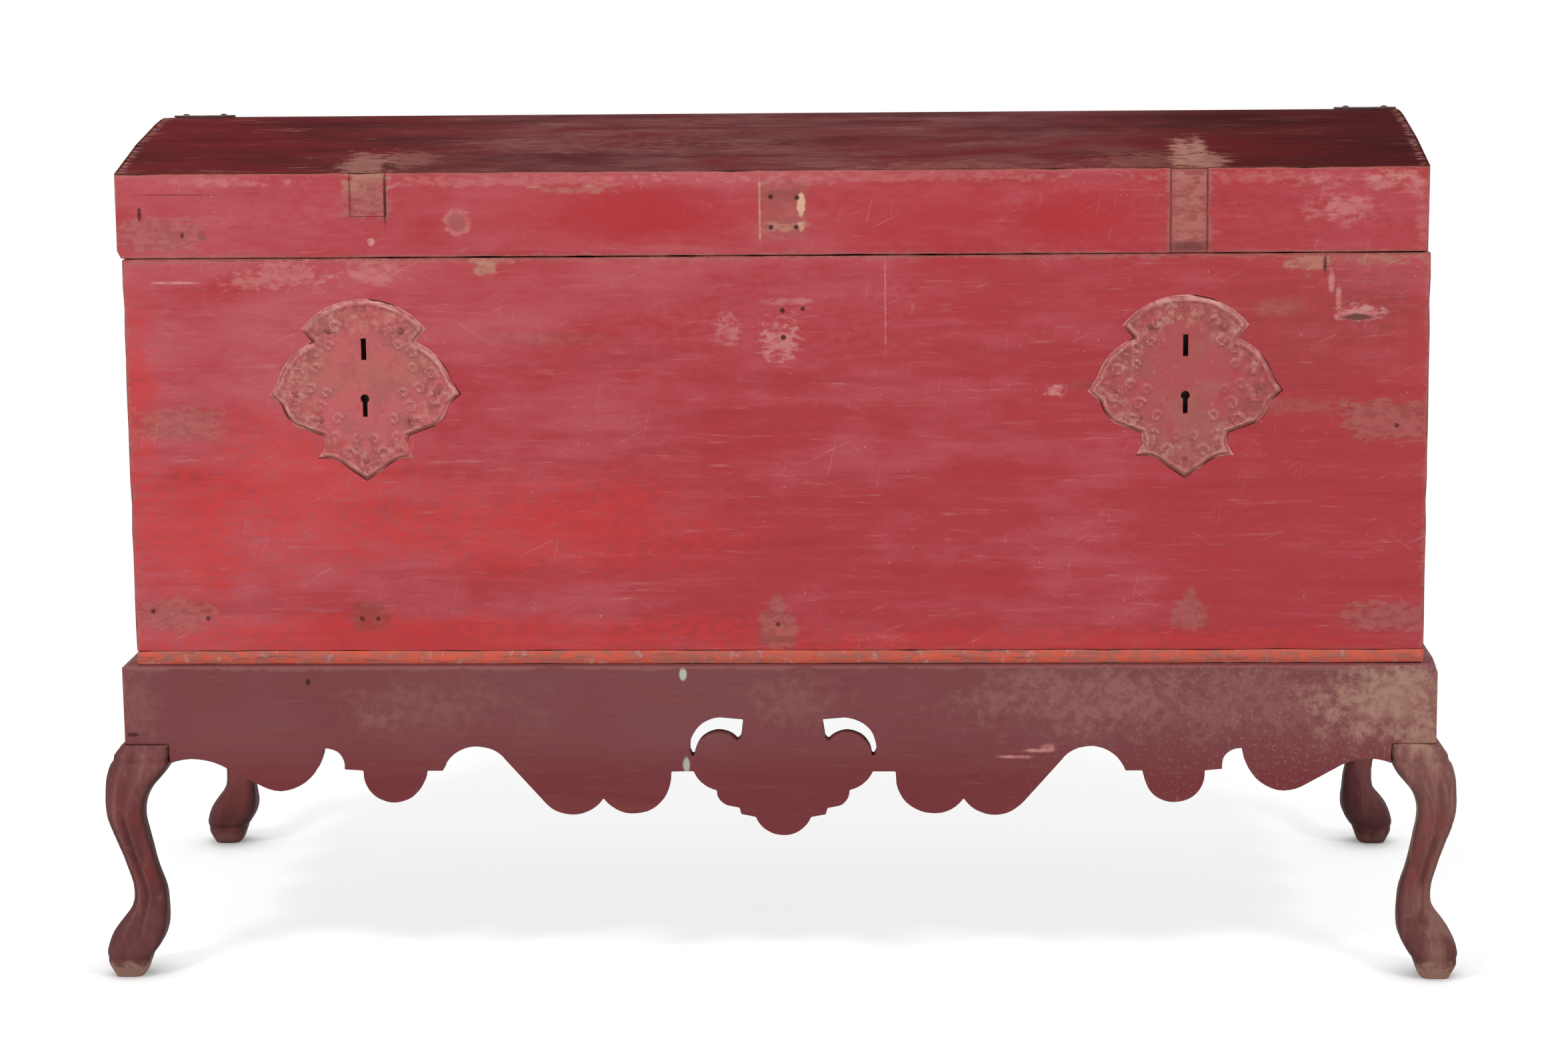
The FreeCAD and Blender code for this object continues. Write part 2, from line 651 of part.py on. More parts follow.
def strap_plan(x):
    """The strap seen from above: a plain band that ends in a bulb with a small tip at the ridge."""
    half, bulb = mm("sizes.strap_width / 2"), mm("sizes.terminal_width / 2")
    tip, reach = -mm("sizes.strap_past_ridge"), mm("sizes.terminal_length")
    neck, neck_y = half * terminal_neck_share, tip + reach
    past = mm(f"{AXIS_Y} + sizes.barrel_radius + sizes.overrun")
    right = [
        (0, tip), (neck, tip + reach * terminal_tip_share),
        (bulb, tip + reach / 2, neck, neck_y - neck), (half, neck_y + neck), (half, past), (0, past),
    ]
    return moved(right + mirrored(right)[1:], x)


# Knuckles: one third of the strap's width in the middle for the lid, one each side for the case
THIRD = "(sizes.strap_width / 3)"
NOTCH = "(sizes.barrel_radius + sizes.notch_gap)"
TONGUE_Y = (BACK, f"{BACK} + sizes.strap_thickness")


def make_strap(side, x):
    """The lid's half: a strap over the dome, with a tongue down to the middle knuckle."""
    width = "sizes.terminal_width"
    section = sawn(f"strap_band_{side}", strap_section(), END_PLANE, about(x, width)[0], width)
    plan = Part.Face(Part.Wire([edge.toShape() for edge in edges(strap_plan(mm(x)))]))
    plan.translate(Vector(0, 0, mm(CASE_TOP)))
    prism = plan.extrude(Vector(0, 0, mm(f"{RIDGE} - {CASE_TOP} + sizes.overrun")))
    band = common(f"strap_shape_{side}", section, shaped(f"strap_plan_{side}", prism))
    middle = f"({THIRD} - sizes.knuckle_gap)"
    tongue = block(f"strap_tongue_{side}", about(x, middle), TONGUE_Y, (AXIS_Z, f"{AXIS_Z} + {NOTCH}"))
    barrel, bore = knuckle(f"strap_knuckle_{side}", x, middle, "sizes.pin_radius + sizes.pin_running_gap")
    blank = joined(f"strap_blank_{side}", band, tongue, barrel)
    piece(less(f"strap_{side}", blank, bore), f"hinge_strap_{side}")


def make_leaf(side, x):
    """The case's half: a pointed plate with a tongue up to each outer knuckle."""
    half, axis = mm("sizes.strap_width / 2"), mm(AXIS_Z)
    top, foot = axis - mm(NOTCH), axis - mm("sizes.leaf_length")
    run = [(0, foot), (half, foot + half), (half, top), (0, top)]
    outline = moved(run + mirrored(run)[1:], mm(x))
    parts = [sawn(f"leaf_plate_{side}", outline, FRONT_PLANE, BACK, "sizes.strap_thickness")]
    bores = []
    for name, way in (("a", "-"), ("b", "+")):
        centre = f"({x} {way} {THIRD})"
        barrel, bore = knuckle(f"leaf_knuckle_{name}_{side}", centre, THIRD, "sizes.pin_radius")
        high = (f"{AXIS_Z} - {NOTCH}", AXIS_Z)
        parts += [barrel, block(f"leaf_tongue_{name}_{side}", about(centre, THIRD), TONGUE_Y, high)]
        bores.append(bore)
    piece(less(f"leaf_{side}", joined(f"leaf_blank_{side}", *parts), *bores), f"hinge_leaf_{side}")


def make_hinge(side, x):
    make_strap(side, x)
    make_leaf(side, x)
    length = "sizes.strap_width + 2 * sizes.pin_overhang"
    pin = rod(f"hinge_rod_{side}", "sizes.pin_radius", length, (about(x, length)[0], AXIS_Y, AXIS_Z), ALONG_X)
    piece(pin, f"hinge_pin_{side}")


HINGE_X = {"left": f"({LEFT} + sizes.hinge_from_end)", "right": f"({RIGHT} - sizes.hinge_from_end)"}
shares_down_leaf = (0.32, 0.56, 0.8)
shares_up_rail = (0.35, 0.8)


def make_hinge_nails():
    thick = mm("sizes.strap_thickness")
    face = mm(BACK) + thick
    quarter = mm("sizes.strap_width / 4")
    rail = [mm(f"{LID_FLOOR} + {share} * sizes.rail_height") for share in shares_up_rail]
    leaf = [mm(f"{AXIS_Z} - {share} * sizes.leaf_length") for share in shares_down_leaf]
    bulb_y = mm("sizes.terminal_length / 2 - sizes.strap_past_ridge")
    bulb_x = mm("sizes.terminal_nail_offset")
    on_case, on_lid = [], []
    for x in (mm(text) for text in HINGE_X.values()):
        on_case += [((x + way * quarter, face, z), TOWARDS_BACK) for z in leaf[:2] for way in (-1, 1)]
        on_case.append(((x, face, leaf[2]), TOWARDS_BACK))
        on_lid += [((x + way * quarter, face, z), TOWARDS_BACK) for z in rail for way in (-1, 1)]
        for low, high in zip(OUTER, OUTER[1:]):
            _, lean, up = facet_normal(low, high)
            y = -(low[0] + high[0]) / 2
            z = along(low, high, -y)[1]
            on_lid.append(((x, y - lean * thick, z + up * thick), (0, -lean, up)))
        on_lid += [((x + way * bulb_x, bulb_y, crown(bulb_y, thick)), (0, 0, 1)) for way in (-1, 1)]
    nails("hinge_leaf_nails", STRAP_NAIL, on_case)
    nails("hinge_strap_nails", STRAP_NAIL, on_lid)


# Sawn aprons. The corner scallops run from the round lobe's centre out to the knee, each point a
# share of that run from the knee and a share of the full drop below the stand's top.
corner_scallop_shares = [
    (1.0, 0.803), (0.898, 0.748, 0.862, 0.614), (0.779, 0.606), (0.757, 0.516, 0.69, 0.485),
    (0.683, 0.53), (0.611, 0.676, 0.495, 0.736), (0.44, 0.724, 0.389, 0.692), (0.229, 0.581),
    (0.12, 0.546, 0.0, 0.574),
]
# The front's middle, from the tip of the pendant out to the round lobe, as shares of the way there
middle_shares = [
    (0.0, 1.0), (0.043, 0.97, 0.071, 0.889), (0.109, 0.873), (0.113, 0.836), (0.144, 0.822),
    (0.164, 0.787, 0.17, 0.731), (0.209, 0.685, 0.23, 0.62), (0.288, 0.62), (0.29, 0.69),
    (0.391, 0.869, 0.462, 0.78), (0.539, 0.876, 0.617, 0.794), (0.712, 0.551),
    (0.735, 0.502, 0.765, 0.477), (0.833, 0.5, 0.874, 0.616), (0.918, 0.616), (0.942, 0.748, 1.0, 0.803),
]
# The crescent pierced on each side of the pendant, in the same shares as the middle
crescent_shares = [
    (0.101, 0.312), (0.16, 0.303), (0.214, 0.354, 0.239, 0.5), (0.233, 0.528), (0.227, 0.523),
    (0.189, 0.401, 0.117, 0.44), (0.109, 0.424), (0.101, 0.312),
]
# The plain back apron, in the shares of a corner scallop
plain_shares = [(0.12, 0.546), (0.06, 0.555, 0.0, 0.574)]


def scaled(shares, across, up):
    """Points of an outline from their shares, by one function across and one up."""
    return [tuple(up(v) if i % 2 else across(v) for i, v in enumerate(step)) for step in shares]


def drop(share):
    """Height of a share of the aprons' full drop below the stand's top."""
    return mm("sizes.stand_height") - share * mm("sizes.apron_drop")


def apron_outline(right, left, edge):
    """A closed outline from both halves of its lower edge, up past the knees and across the top."""
    knee, top = mm(KNEE_TOP), mm("sizes.stand_height")
    right, left = (half + [(half[-1][-2], knee), (edge, knee), (edge, top)] for half in (right, left))
    return right + mirrored(left)


def make_aprons():
    length, depth = mm(STAND_X), mm(STAND_Y)
    centre, shift, knee = mm("sizes.lobe_centre"), mm("sizes.pattern_shift"), mm("sizes.knee_width")

    def corner(shares, inner, middle):
        return scaled(shares, lambda share: inner - share * (inner - middle), drop)

    def sideways(share):
        return share * centre

    middle, halves = scaled(middle_shares, sideways, drop), []
    for way in (shift, -shift):
        scallops = corner(corner_scallop_shares, length - knee, centre + way)
        halves.append(moved(middle, way) + scallops[1:])
    outline = apron_outline(*halves, length)
    board = sawn("front_apron_board", outline, FRONT_PLANE, f"-{STAND_Y}", "sizes.apron_thickness")
    crescent = scaled(crescent_shares, sideways, drop)
    past = f"-{STAND_Y} - sizes.overrun", "sizes.apron_thickness + 2 * sizes.overrun"
    piercings = [
        sawn("crescent_right", moved(crescent, shift), FRONT_PLANE, *past),
        sawn("crescent_left", moved(mirrored(crescent), shift), FRONT_PLANE, *past),
    ]
    piece(less("front_apron", board, *piercings), "apron_front")

    half = [(0, drop(plain_shares[0][1]))] + corner(plain_shares, length - knee, centre)
    outline = apron_outline(half, half, length)
    back_face = f"{STAND_Y} - sizes.apron_thickness"
    piece(sawn("back_apron", outline, FRONT_PLANE, back_face, "sizes.apron_thickness"), "apron_back")

    half = corner(corner_scallop_shares, depth - knee, 0)
    outline = apron_outline(half, half, mm(f"{STAND_Y} - sizes.apron_thickness"))
    for side, face in (("left", f"-{STAND_X}"), ("right", f"{STAND_X} - sizes.apron_thickness")):
        piece(sawn(f"{side}_apron", outline, END_PLANE, face, "sizes.apron_thickness"), f"apron_{side}")


def make_bearers():
    """Two cross bars between the long aprons, under the chest's bottom board."""
    inside = f"({STAND_Y} - sizes.apron_thickness)"
    high = ("sizes.stand_height - sizes.bearer_depth", "sizes.stand_height")
    for side, x in both_ways(bearer_place_share).items():
        across = about(x, "sizes.bearer_width")
        piece(block(f"bearer_{side}", across, (f"-{inside}", inside), high), f"cross_bearer_{side}")


# Legs. Each level down a leg is a rounded square: its height as a share of the knee's top, then how
# far its outer and inner sides lie outside the stand's corner, as shares of the knee's width, and how
# round its corners are, as a share of its half width.
leg_level_shares = [
    (1.0, 0.07, -1.0, 0.3), (0.965, 0.2, -1.0, 0.4), (0.915, 0.32, -0.98, 0.5), (0.864, 0.4, -0.82, 0.6),
    (0.8, 0.42, -0.54, 0.62), (0.715, 0.41, -0.41, 0.62), (0.624, 0.29, -0.46, 0.6),
    (0.532, 0.14, -0.54, 0.6), (0.441, 0.01, -0.64, 0.6), (0.349, -0.065, -0.76, 0.6),
    (0.285, 0.0, -0.79, 0.6), (0.224, 0.24, -0.8, 0.6), (0.163, 0.44, -0.74, 0.6),
    (0.105, 0.525, -0.57, 0.6), (0.047, 0.47, -0.41, 0.6), (0.0, 0.35, -0.25, 0.6),
]


def leg_section(share_up, share_out, share_in, roundness):
    """A rounded square wire at one level, measured from the stand's corner along both outward ways."""
    knee, height = mm("sizes.knee_width"), mm(KNEE_TOP) * share_up
    out, inner = share_out * knee, share_in * knee
    radius = roundness * (out - inner) / 2
    near, far = inner + radius, out - radius
    bow = radius * (1 - math.sqrt(0.5))
    run = [
        (near, inner), (far, inner), (out - bow, inner + bow, out, near), (out, far),
        (out - bow, out - bow, far, out), (near, out), (inner + bow, out - bow, inner, far),
        (inner, near), (inner + bow, inner + bow, near, inner),
    ]
    wire = Part.Wire([edge.toShape() for edge in edges(run)])
    wire.translate(Vector(0, 0, height))
    return wire


def leg_shape():
    """A leg about the stand's corner, outward along +X and +Y, with its post inside the frame."""
    body = Part.makeLoft([leg_section(*level) for level in reversed(leg_level_shares)], True, False)
    knee_top, top = mm(KNEE_TOP), mm("sizes.stand_height")
    board, width, knee = mm("sizes.apron_thickness"), mm("sizes.post_width"), mm("sizes.knee_width")
    post = Part.makeBox(width, width, top - knee_top, Vector(-board - width, -board - width, knee_top))
    # the aprons run past the knee's inner sides, so the leg is cut back a little from them
    clear = mm("sizes.ear_gap")
    past = mm("sizes.overrun") + clear
    low = drop(corner_scallop_shares[-1][-1]) - mm("sizes.overrun")
    band = board + 2 * clear
    for x, y, across, deep in (
        (-knee + clear - past, -board - clear, past, band), (-board - clear, -knee + clear - past, band, past)
    ):
        body = body.cut(Part.makeBox(across, deep, knee_top - low, Vector(x, y, low)))
    return body.fuse(post).removeSplitter()


def make_legs():
    """One shape for all four corners, turned by quarters."""
    shape = leg_shape()
    corners = [("back_right", 1, 1), ("back_left", -1, 1), ("front_left", -1, -1), ("front_right", 1, -1)]
    for quarter, (name, way_x, way_y) in enumerate(corners):
        leg = shaped(f"{name}_leg", shape.copy())
        corner = Vector(way_x * mm(STAND_X), way_y * mm(STAND_Y), 0)
        leg.Placement = Placement(corner, Rotation(Vector(0, 0, 1), quarter * 90))
        piece(leg, f"leg_{name}")


make_case()
make_case_nails()
make_lid()
make_dome_nails()
make_lock_plates()
for side, x in LOCK_X.items():
    make_lock(side, x)
make_lock_case_nails()
for side, x in HINGE_X.items():
    make_hinge(side, x)
make_hinge_nails()
make_aprons()
make_bearers()
make_legs()
doc.recompute()

# Every feature and every sub-part is checked before anything is written
for thing in doc.Objects:
    if "Invalid" in thing.State or "Error" in thing.State:
        raise RuntimeError(f"{thing.Label} failed to build: {thing.State}")
for thing in pieces:
    if thing.Shape.isNull() or not thing.Shape.isValid() or not thing.Shape.Solids:
        raise RuntimeError(f"{thing.Label} is not a valid solid")

os.makedirs("parts", exist_ok=True)
for thing in pieces:
    thing.Shape.exportStep(f"parts/{thing.Label}.step")
    print(f"{thing.Label}: {len(thing.Shape.Solids)} solid, {thing.Shape.Volume:.0f} mm3")
print(len(pieces), "sub-parts")
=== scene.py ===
# %% [markdown]
# # A dome top chest on its stand
#
# The real object is a long case of painted boards with a hinged lid. The lid has a low rail all round
# and a dome of long staves. It stands on a separate frame of sawn boards with four carved legs.
# The construction was made in CAD. This lesson gives that frame its old paint, its worn edges and its
# carving, one step at a time.

# %% Load the frame
import json
import math
from functools import reduce

import bpy
import numpy as np
from mathutils import Matrix, Vector, noise

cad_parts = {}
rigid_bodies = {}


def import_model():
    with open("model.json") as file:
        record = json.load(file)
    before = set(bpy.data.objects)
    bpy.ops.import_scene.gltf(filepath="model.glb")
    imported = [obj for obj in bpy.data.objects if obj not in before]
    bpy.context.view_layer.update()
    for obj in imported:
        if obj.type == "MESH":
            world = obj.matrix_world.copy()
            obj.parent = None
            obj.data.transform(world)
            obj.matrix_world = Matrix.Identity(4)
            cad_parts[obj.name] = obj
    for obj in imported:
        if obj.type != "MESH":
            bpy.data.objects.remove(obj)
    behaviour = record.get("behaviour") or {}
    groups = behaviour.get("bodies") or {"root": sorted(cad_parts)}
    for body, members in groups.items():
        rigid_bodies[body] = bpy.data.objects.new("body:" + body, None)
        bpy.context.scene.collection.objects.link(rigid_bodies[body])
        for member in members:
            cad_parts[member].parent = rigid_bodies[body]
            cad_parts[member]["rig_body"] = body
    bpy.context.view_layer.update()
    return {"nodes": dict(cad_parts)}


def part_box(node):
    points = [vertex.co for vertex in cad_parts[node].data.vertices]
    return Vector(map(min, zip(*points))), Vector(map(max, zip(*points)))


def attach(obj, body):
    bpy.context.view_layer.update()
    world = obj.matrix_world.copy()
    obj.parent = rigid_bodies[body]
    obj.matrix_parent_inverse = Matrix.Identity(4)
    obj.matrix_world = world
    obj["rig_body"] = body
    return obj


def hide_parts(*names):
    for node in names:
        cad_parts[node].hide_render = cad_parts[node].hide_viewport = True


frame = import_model()
nodes = frame["nodes"]

# %% [markdown]
# ## Where the camera stands
#
# The photographer stood nearly five metres away with a long lens, a little right of the middle and a
# little above the lid. A long lens keeps the case almost free of perspective. The direction is built
# from three turns, because each of them can be read off the picture on its own: the turn to the side,
# the tilt down, and the small lean of the horizon.

# %% Camera
scene = bpy.context.scene
scene.view_settings.view_transform = "Standard"
CAMERA_PLACE = (0.1911, -4.8856, 1.3357)
TURN_LEFT = 0.0393
TILT_DOWN = 0.1656
LEAN = -0.0095
camera_data = bpy.data.cameras.new("camera")
camera_data.sensor_width = 36
camera_data.lens = 86.14
camera = bpy.data.objects.new("camera", camera_data)
scene.collection.objects.link(camera)
camera.matrix_world = (
    Matrix.Translation(CAMERA_PLACE)
    @ Matrix.Rotation(TURN_LEFT, 4, "Z")
    @ Matrix.Rotation(math.pi / 2 - TILT_DOWN, 4, "X")
    @ Matrix.Rotation(LEAN, 4, "Z")
)
scene.camera = camera
print("camera at", CAMERA_PLACE, "with a lens of", camera_data.lens)

# %% [markdown]
# ## Putting nodes together
#
# Paint is built from many small sums: a noise here, a soft threshold there. Written out in full they
# bury the idea, so a small class gives each common node one short line. A number or colour is set on
# the socket, and a socket is wired to it.

# %% Helpers for node trees


def rgb(red, green, blue):
    """A colour picked off the screen, 0 to 255, as the linear light that nodes work in."""
    def linear(value):
        value = value / 255
        return value / 12.92 if value <= 0.04045 else ((value + 0.055) / 1.055) ** 2.4
    return (linear(red), linear(green), linear(blue), 1.0)


class Tree:
    """Short ways to add nodes to one tree and wire them."""

    def __init__(self, tree, owner=None):
        self.tree = tree
        self.owner = owner

    def node(self, kind, **settings):
        made = self.tree.nodes.new(kind)
        for name, value in settings.items():
            setattr(made, name, value)
        return made

    def feed(self, socket, value):
        if isinstance(value, bpy.types.NodeSocket):
            self.tree.links.new(value, socket)
        else:
            socket.default_value = value

    def math(self, operation, *values):
        made = self.node("ShaderNodeMath", operation=operation)
        for socket, value in zip(made.inputs, values):
            self.feed(socket, value)
        return made.outputs[0]

    def fold(self, operation, values):
        """One operation over several values, from the first to the last."""
        return reduce(lambda first, second: self.math(operation, first, second), values)

    def plus(self, *values):
        return self.fold("ADD", values)

    def times(self, *values):
        return self.fold("MULTIPLY", values)

    def least(self, *values):
        return self.fold("MINIMUM", values)

    def most(self, *values):
        return self.fold("MAXIMUM", values)

    def scaled(self, value, factor, more):
        """The value times the factor, plus more."""
        return self.math("MULTIPLY_ADD", value, factor, more)

    def vector(self, operation, *values):
        made = self.node("ShaderNodeVectorMath", operation=operation)
        for socket, value in zip(made.inputs, values):
            self.feed(socket, value)
        return made.outputs["Value" if operation == "LENGTH" else "Vector"]

    def apart(self, place):
        made = self.node("ShaderNodeSeparateXYZ")
        self.feed(made.inputs[0], place)
        return made.outputs

    def ramp(self, value, start, end, low=0.0, high=1.0):
        """A soft step from low to high as the value goes from start to end."""
        made = self.node("ShaderNodeMapRange", interpolation_type="SMOOTHSTEP")
        given = {"Value": value, "From Min": start, "From Max": end, "To Min": low, "To Max": high}
        for name, number in given.items():
            self.feed(made.inputs[name], number)
        return made.outputs["Result"]

    def steps(self, *rows):
        """The product of several soft steps. Each row holds what ramp takes."""
        return self.times(*(self.ramp(*row) for row in rows))

    def noise(self, place, scale, detail=3.0, roughness=0.55, stretch=None):
        if stretch is not None:
            place = self.vector("MULTIPLY", place, stretch)
        made = self.node("ShaderNodeTexNoise")
        self.feed(made.inputs["Vector"], place)
        made.inputs["Scale"].default_value = scale
        made.inputs["Detail"].default_value = detail
        made.inputs["Roughness"].default_value = roughness
        return made.outputs["Fac"]

    def mix(self, share, first, second):
        """One colour over another."""
        made = self.node("ShaderNodeMix", data_type="RGBA")
        self.feed(made.inputs[0], share)
        self.feed(made.inputs[6], first)
        self.feed(made.inputs[7], second)
        return made.outputs[2]

    def lay(self, colour, other, *shares):
        """Another colour over this one, as strong as the product of the shares."""
        return self.mix(self.times(*shares), colour, other)

    def cover(self, colour, other, value, start, end, most=1.0):
        """Another colour over this one, more of it as the value goes from start to end."""
        return self.lay(colour, other, self.ramp(value, start, end, 0.0, most))

    def layers(self, colour, *rows):
        """Several covers, the last on top. Each row holds what cover takes after the first colour."""
        for row in rows:
            colour = self.cover(colour, *row)
        return colour

    def use(self, effect, **values):
        """One of the shared effects, fed by the names of its inputs."""
        made = self.node("ShaderNodeGroup", node_tree=effect)
        for name, value in values.items():
            self.feed(made.inputs[name], value)
        return made.outputs


def effect(name, vectors, numbers="", results="Mask"):
    """A new node group that turns vectors and numbers into one or more numbers.

    Returns its tree, what goes in and what comes out.
    """
    tree = bpy.data.node_groups.new(name, "ShaderNodeTree")
    kinds = ((vectors, "INPUT", "Vector"), (numbers, "INPUT", "Float"), (results, "OUTPUT", "Float"))
    for labels, way, kind in kinds:
        for label in labels.split():
            tree.interface.new_socket(label, in_out=way, socket_type=f"NodeSocket{kind}")
    inside = Tree(tree)
    return inside, inside.node("NodeGroupInput").outputs, inside.node("NodeGroupOutput").inputs


# %% [markdown]
# ## The light and the floor
#
# Furniture for a catalogue stands on white paper under large soft lamps. A white world would do for
# the light alone, but then nothing says where the front is. Two wide lamps in front, left and right,
# give the legs their two shadows that run inwards and back. The paper is white to every ray but those
# that go straight to the camera. Those see a greyer paper that glows, so that its shadows come out
# pale and no more light reaches the chest. Away from the chest the glow takes over, so the floor and
# the white behind it meet unseen.

# %% White world
SKY = 0.40


def empty_tree(owner):
    """The tree of a world or a material, with nothing in it yet."""
    owner.use_nodes = True
    owner.node_tree.nodes.clear()
    return Tree(owner.node_tree, owner)


def seen_by(tree):
    """1 for the rays that see something, 0 for those that only gather light."""
    ray = tree.node("ShaderNodeLightPath").outputs
    return tree.most(ray["Is Camera Ray"], ray["Is Glossy Ray"], ray["Is Transmission Ray"])


world = bpy.data.worlds.new("studio")
scene.world = world
sky = empty_tree(world)
background = sky.node("ShaderNodeBackground")
background.inputs["Color"].default_value = (1, 1, 1, 1)
sky.feed(background.inputs["Strength"], sky.ramp(seen_by(sky), 0, 1, SKY, 1.0))
sky.feed(sky.node("ShaderNodeOutputWorld").inputs["Surface"], background.outputs[0])
print("the white world lights the chest with", SKY)

# %% Paper floor
PAPER = 0.9
PAPER_SEEN = 0.36
GLOW = 0.81
# metres from the middle of the floor
GLOW_TAKES_OVER = (1.5, 3.2)
FLOOR_SIZE = 60
PAINTED_SHADOW_REACH = 0.2
bpy.ops.object.select_all(action="DESELECT")
bpy.ops.mesh.primitive_plane_add(size=FLOOR_SIZE, location=(0, 0, 0))
floor = bpy.context.object
floor.name = "paper_floor"
paper = bpy.data.materials.new("white_paper")
sheet = empty_tree(paper)
seen = seen_by(sheet)
spot = sheet.vector("LENGTH", sheet.node("ShaderNodeTexCoord").outputs["Object"])
far = sheet.ramp(spot, *GLOW_TAKES_OVER)
grey = sheet.ramp(far, 0, 1, PAPER_SEEN, 0.0)
matt = sheet.node("ShaderNodeBsdfDiffuse")
darker = sheet.math("SUBTRACT", grey, PAPER)
sheet.feed(matt.inputs["Color"], sheet.scaled(seen, darker, PAPER))
glow = sheet.node("ShaderNodeEmission")
glow.inputs["Color"].default_value = (1, 1, 1, 1)
# a painted contact shadow: the glow of the paper is dimmed where a foot stands close to it
contact = sheet.node("ShaderNodeAmbientOcclusion", samples=8)
contact.inputs["Distance"].default_value = PAINTED_SHADOW_REACH
painted_contact_shadow = sheet.ramp(contact.outputs["AO"], 0.3, 0.98, 0.3, 1.0)
strength = sheet.times(sheet.ramp(far, 0, 1, GLOW, 1.0), painted_contact_shadow)
sheet.feed(glow.inputs["Strength"], sheet.times(seen, strength))
both = sheet.node("ShaderNodeAddShader")
sheet.feed(both.inputs[0], matt.outputs[0])
sheet.feed(both.inputs[1], glow.outputs[0])
sheet.feed(sheet.node("ShaderNodeOutputMaterial").inputs["Surface"], both.outputs[0])
floor.data.materials.append(paper)
print("paper floor:", FLOOR_SIZE, "metres wide")

# %% Two lamps
LAMPS = {"lamp_left": ((-2.5, -2.7, 3.6), 94), "lamp_right": ((2.7, -2.7, 3.6), 80)}
LAMP_SIZE = 0.7
AIM = Vector((0, 0, 0.5))
for name, (place, power) in LAMPS.items():
    lamp_data = bpy.data.lights.new(name, "AREA")
    lamp_data.size = LAMP_SIZE
    lamp_data.energy = power
    lamp = bpy.data.objects.new(name, lamp_data)
    scene.collection.objects.link(lamp)
    lamp.location = place
    lamp.rotation_euler = (AIM - Vector(place)).to_track_quat("-Z", "Y").to_euler()
    print(name, "gives", power, "watts from", place)

# %% [markdown]
# ## Effects that several finishes share
#
# Old paint on a board shows five things. It follows the grain in long thin streaks. It is rubbed
# through in patches, where a lost mount or a hand was. It is worn along the borders. It is scratched.
# And it stops where the board was never painted, inside. Each of these is one node group here, fed
# with its own numbers in each finish. All of them read Object coordinates, so a pattern stays on its
# board when the lid opens.

# %% Streaks of grain
tree, takes, gives = effect("grain", "Place Stretch", results="Streaks Fine Height")
along = tree.vector("MULTIPLY", takes["Place"], takes["Stretch"])
streaks = tree.noise(along, 1, 6, 0.62)
fine = tree.noise(along, 4.3, 5, 0.68)
tree.feed(gives["Streaks"], streaks)
tree.feed(gives["Fine"], fine)
tree.feed(gives["Height"], tree.scaled(fine, 0.5, streaks))
GRAIN = tree.tree
print("grain nodes:", len(GRAIN.nodes))

# %% Patches, from a square to a round one
tree, takes, gives = effect("patch", "Place Centre Half", "Round Soft Ragged Noise")
offset = tree.vector("SUBTRACT", takes["Place"], takes["Centre"])
share = tree.vector("ABSOLUTE", tree.vector("DIVIDE", offset, takes["Half"]))
x, y, z = tree.apart(share)
square = tree.most(x, y, z)
reach = tree.math("SUBTRACT", tree.vector("LENGTH", share), square)
reach = tree.scaled(reach, takes["Round"], square)
uneven = tree.scaled(takes["Noise"], 2.2, -1.1)
reach = tree.scaled(uneven, takes["Ragged"], reach)
outer = tree.plus(takes["Soft"], 1.0)
inner = tree.math("SUBTRACT", 1.0, takes["Soft"])
tree.feed(gives["Mask"], tree.ramp(reach, inner, outer, 1, 0))
PATCH = tree.tree
print("patch nodes:", len(PATCH.nodes))

# %% Borders of a box of boards
tree, takes, gives = effect("border", "Place Low High", "Width Noise")
to_low = tree.vector("SUBTRACT", takes["Place"], takes["Low"])
to_high = tree.vector("SUBTRACT", takes["High"], takes["Place"])
x, y, z = tree.apart(tree.vector("ABSOLUTE", tree.vector("MINIMUM", to_low, to_high)))
# a point on a face is at no distance from one plane, and the second nearest is the nearest border
second = tree.most(tree.least(x, y), tree.least(tree.most(x, y), z))
wide = tree.times(takes["Width"], tree.ramp(takes["Noise"], 0.35, 0.65, 0.1, 2))
tree.feed(gives["Mask"], tree.ramp(second, tree.times(wide, 0.4), wide, 1, 0))
BORDER = tree.tree
print("border nodes:", len(BORDER.nodes))

# %% Long thin scratches
tree, takes, gives = effect("scratches", "Place", "Lean Noise")
x, y, z = tree.apart(takes["Place"])
flat = tree.plus(x, y)
lean_cos = tree.math("COSINE", takes["Lean"])
lean_sin = tree.math("SINE", takes["Lean"])
lengthwise = tree.scaled(flat, lean_cos, tree.times(z, lean_sin))
crosswise = tree.math("SUBTRACT", tree.times(z, lean_cos), tree.times(flat, lean_sin))
turned = tree.node("ShaderNodeCombineXYZ")
tree.feed(turned.inputs[0], tree.times(lengthwise, 11.0))
tree.feed(turned.inputs[1], tree.times(crosswise, 260.0))
lines = tree.noise(turned.outputs[0], 1, 2, 0.5)
mask = tree.steps((lines, 0.66, 0.72), (takes["Noise"], 0.48, 0.6))
tree.feed(gives["Mask"], mask)
SCRATCHES = tree.tree
print("scratch nodes:", len(SCRATCHES.nodes))

# %% Bare insides
tree, takes, gives = effect("within", "Place Low High")
to_low = tree.vector("SUBTRACT", takes["Place"], takes["Low"])
to_high = tree.vector("SUBTRACT", takes["High"], takes["Place"])
x, y, z = tree.apart(tree.vector("MINIMUM", to_low, to_high))
tree.feed(gives["Mask"], tree.math("GREATER_THAN", tree.least(x, y, z), 0.0))
WITHIN = tree.tree
print("shared effects:", [group.name for group in bpy.data.node_groups])

# %% [markdown]
# ## A finish, from colour to shader
#
# Every finish ends the same way. A colour, a roughness and a height go into one Principled shader, the
# height by way of a Bump node. Specular level is low, because dry old paint has next to no shine.

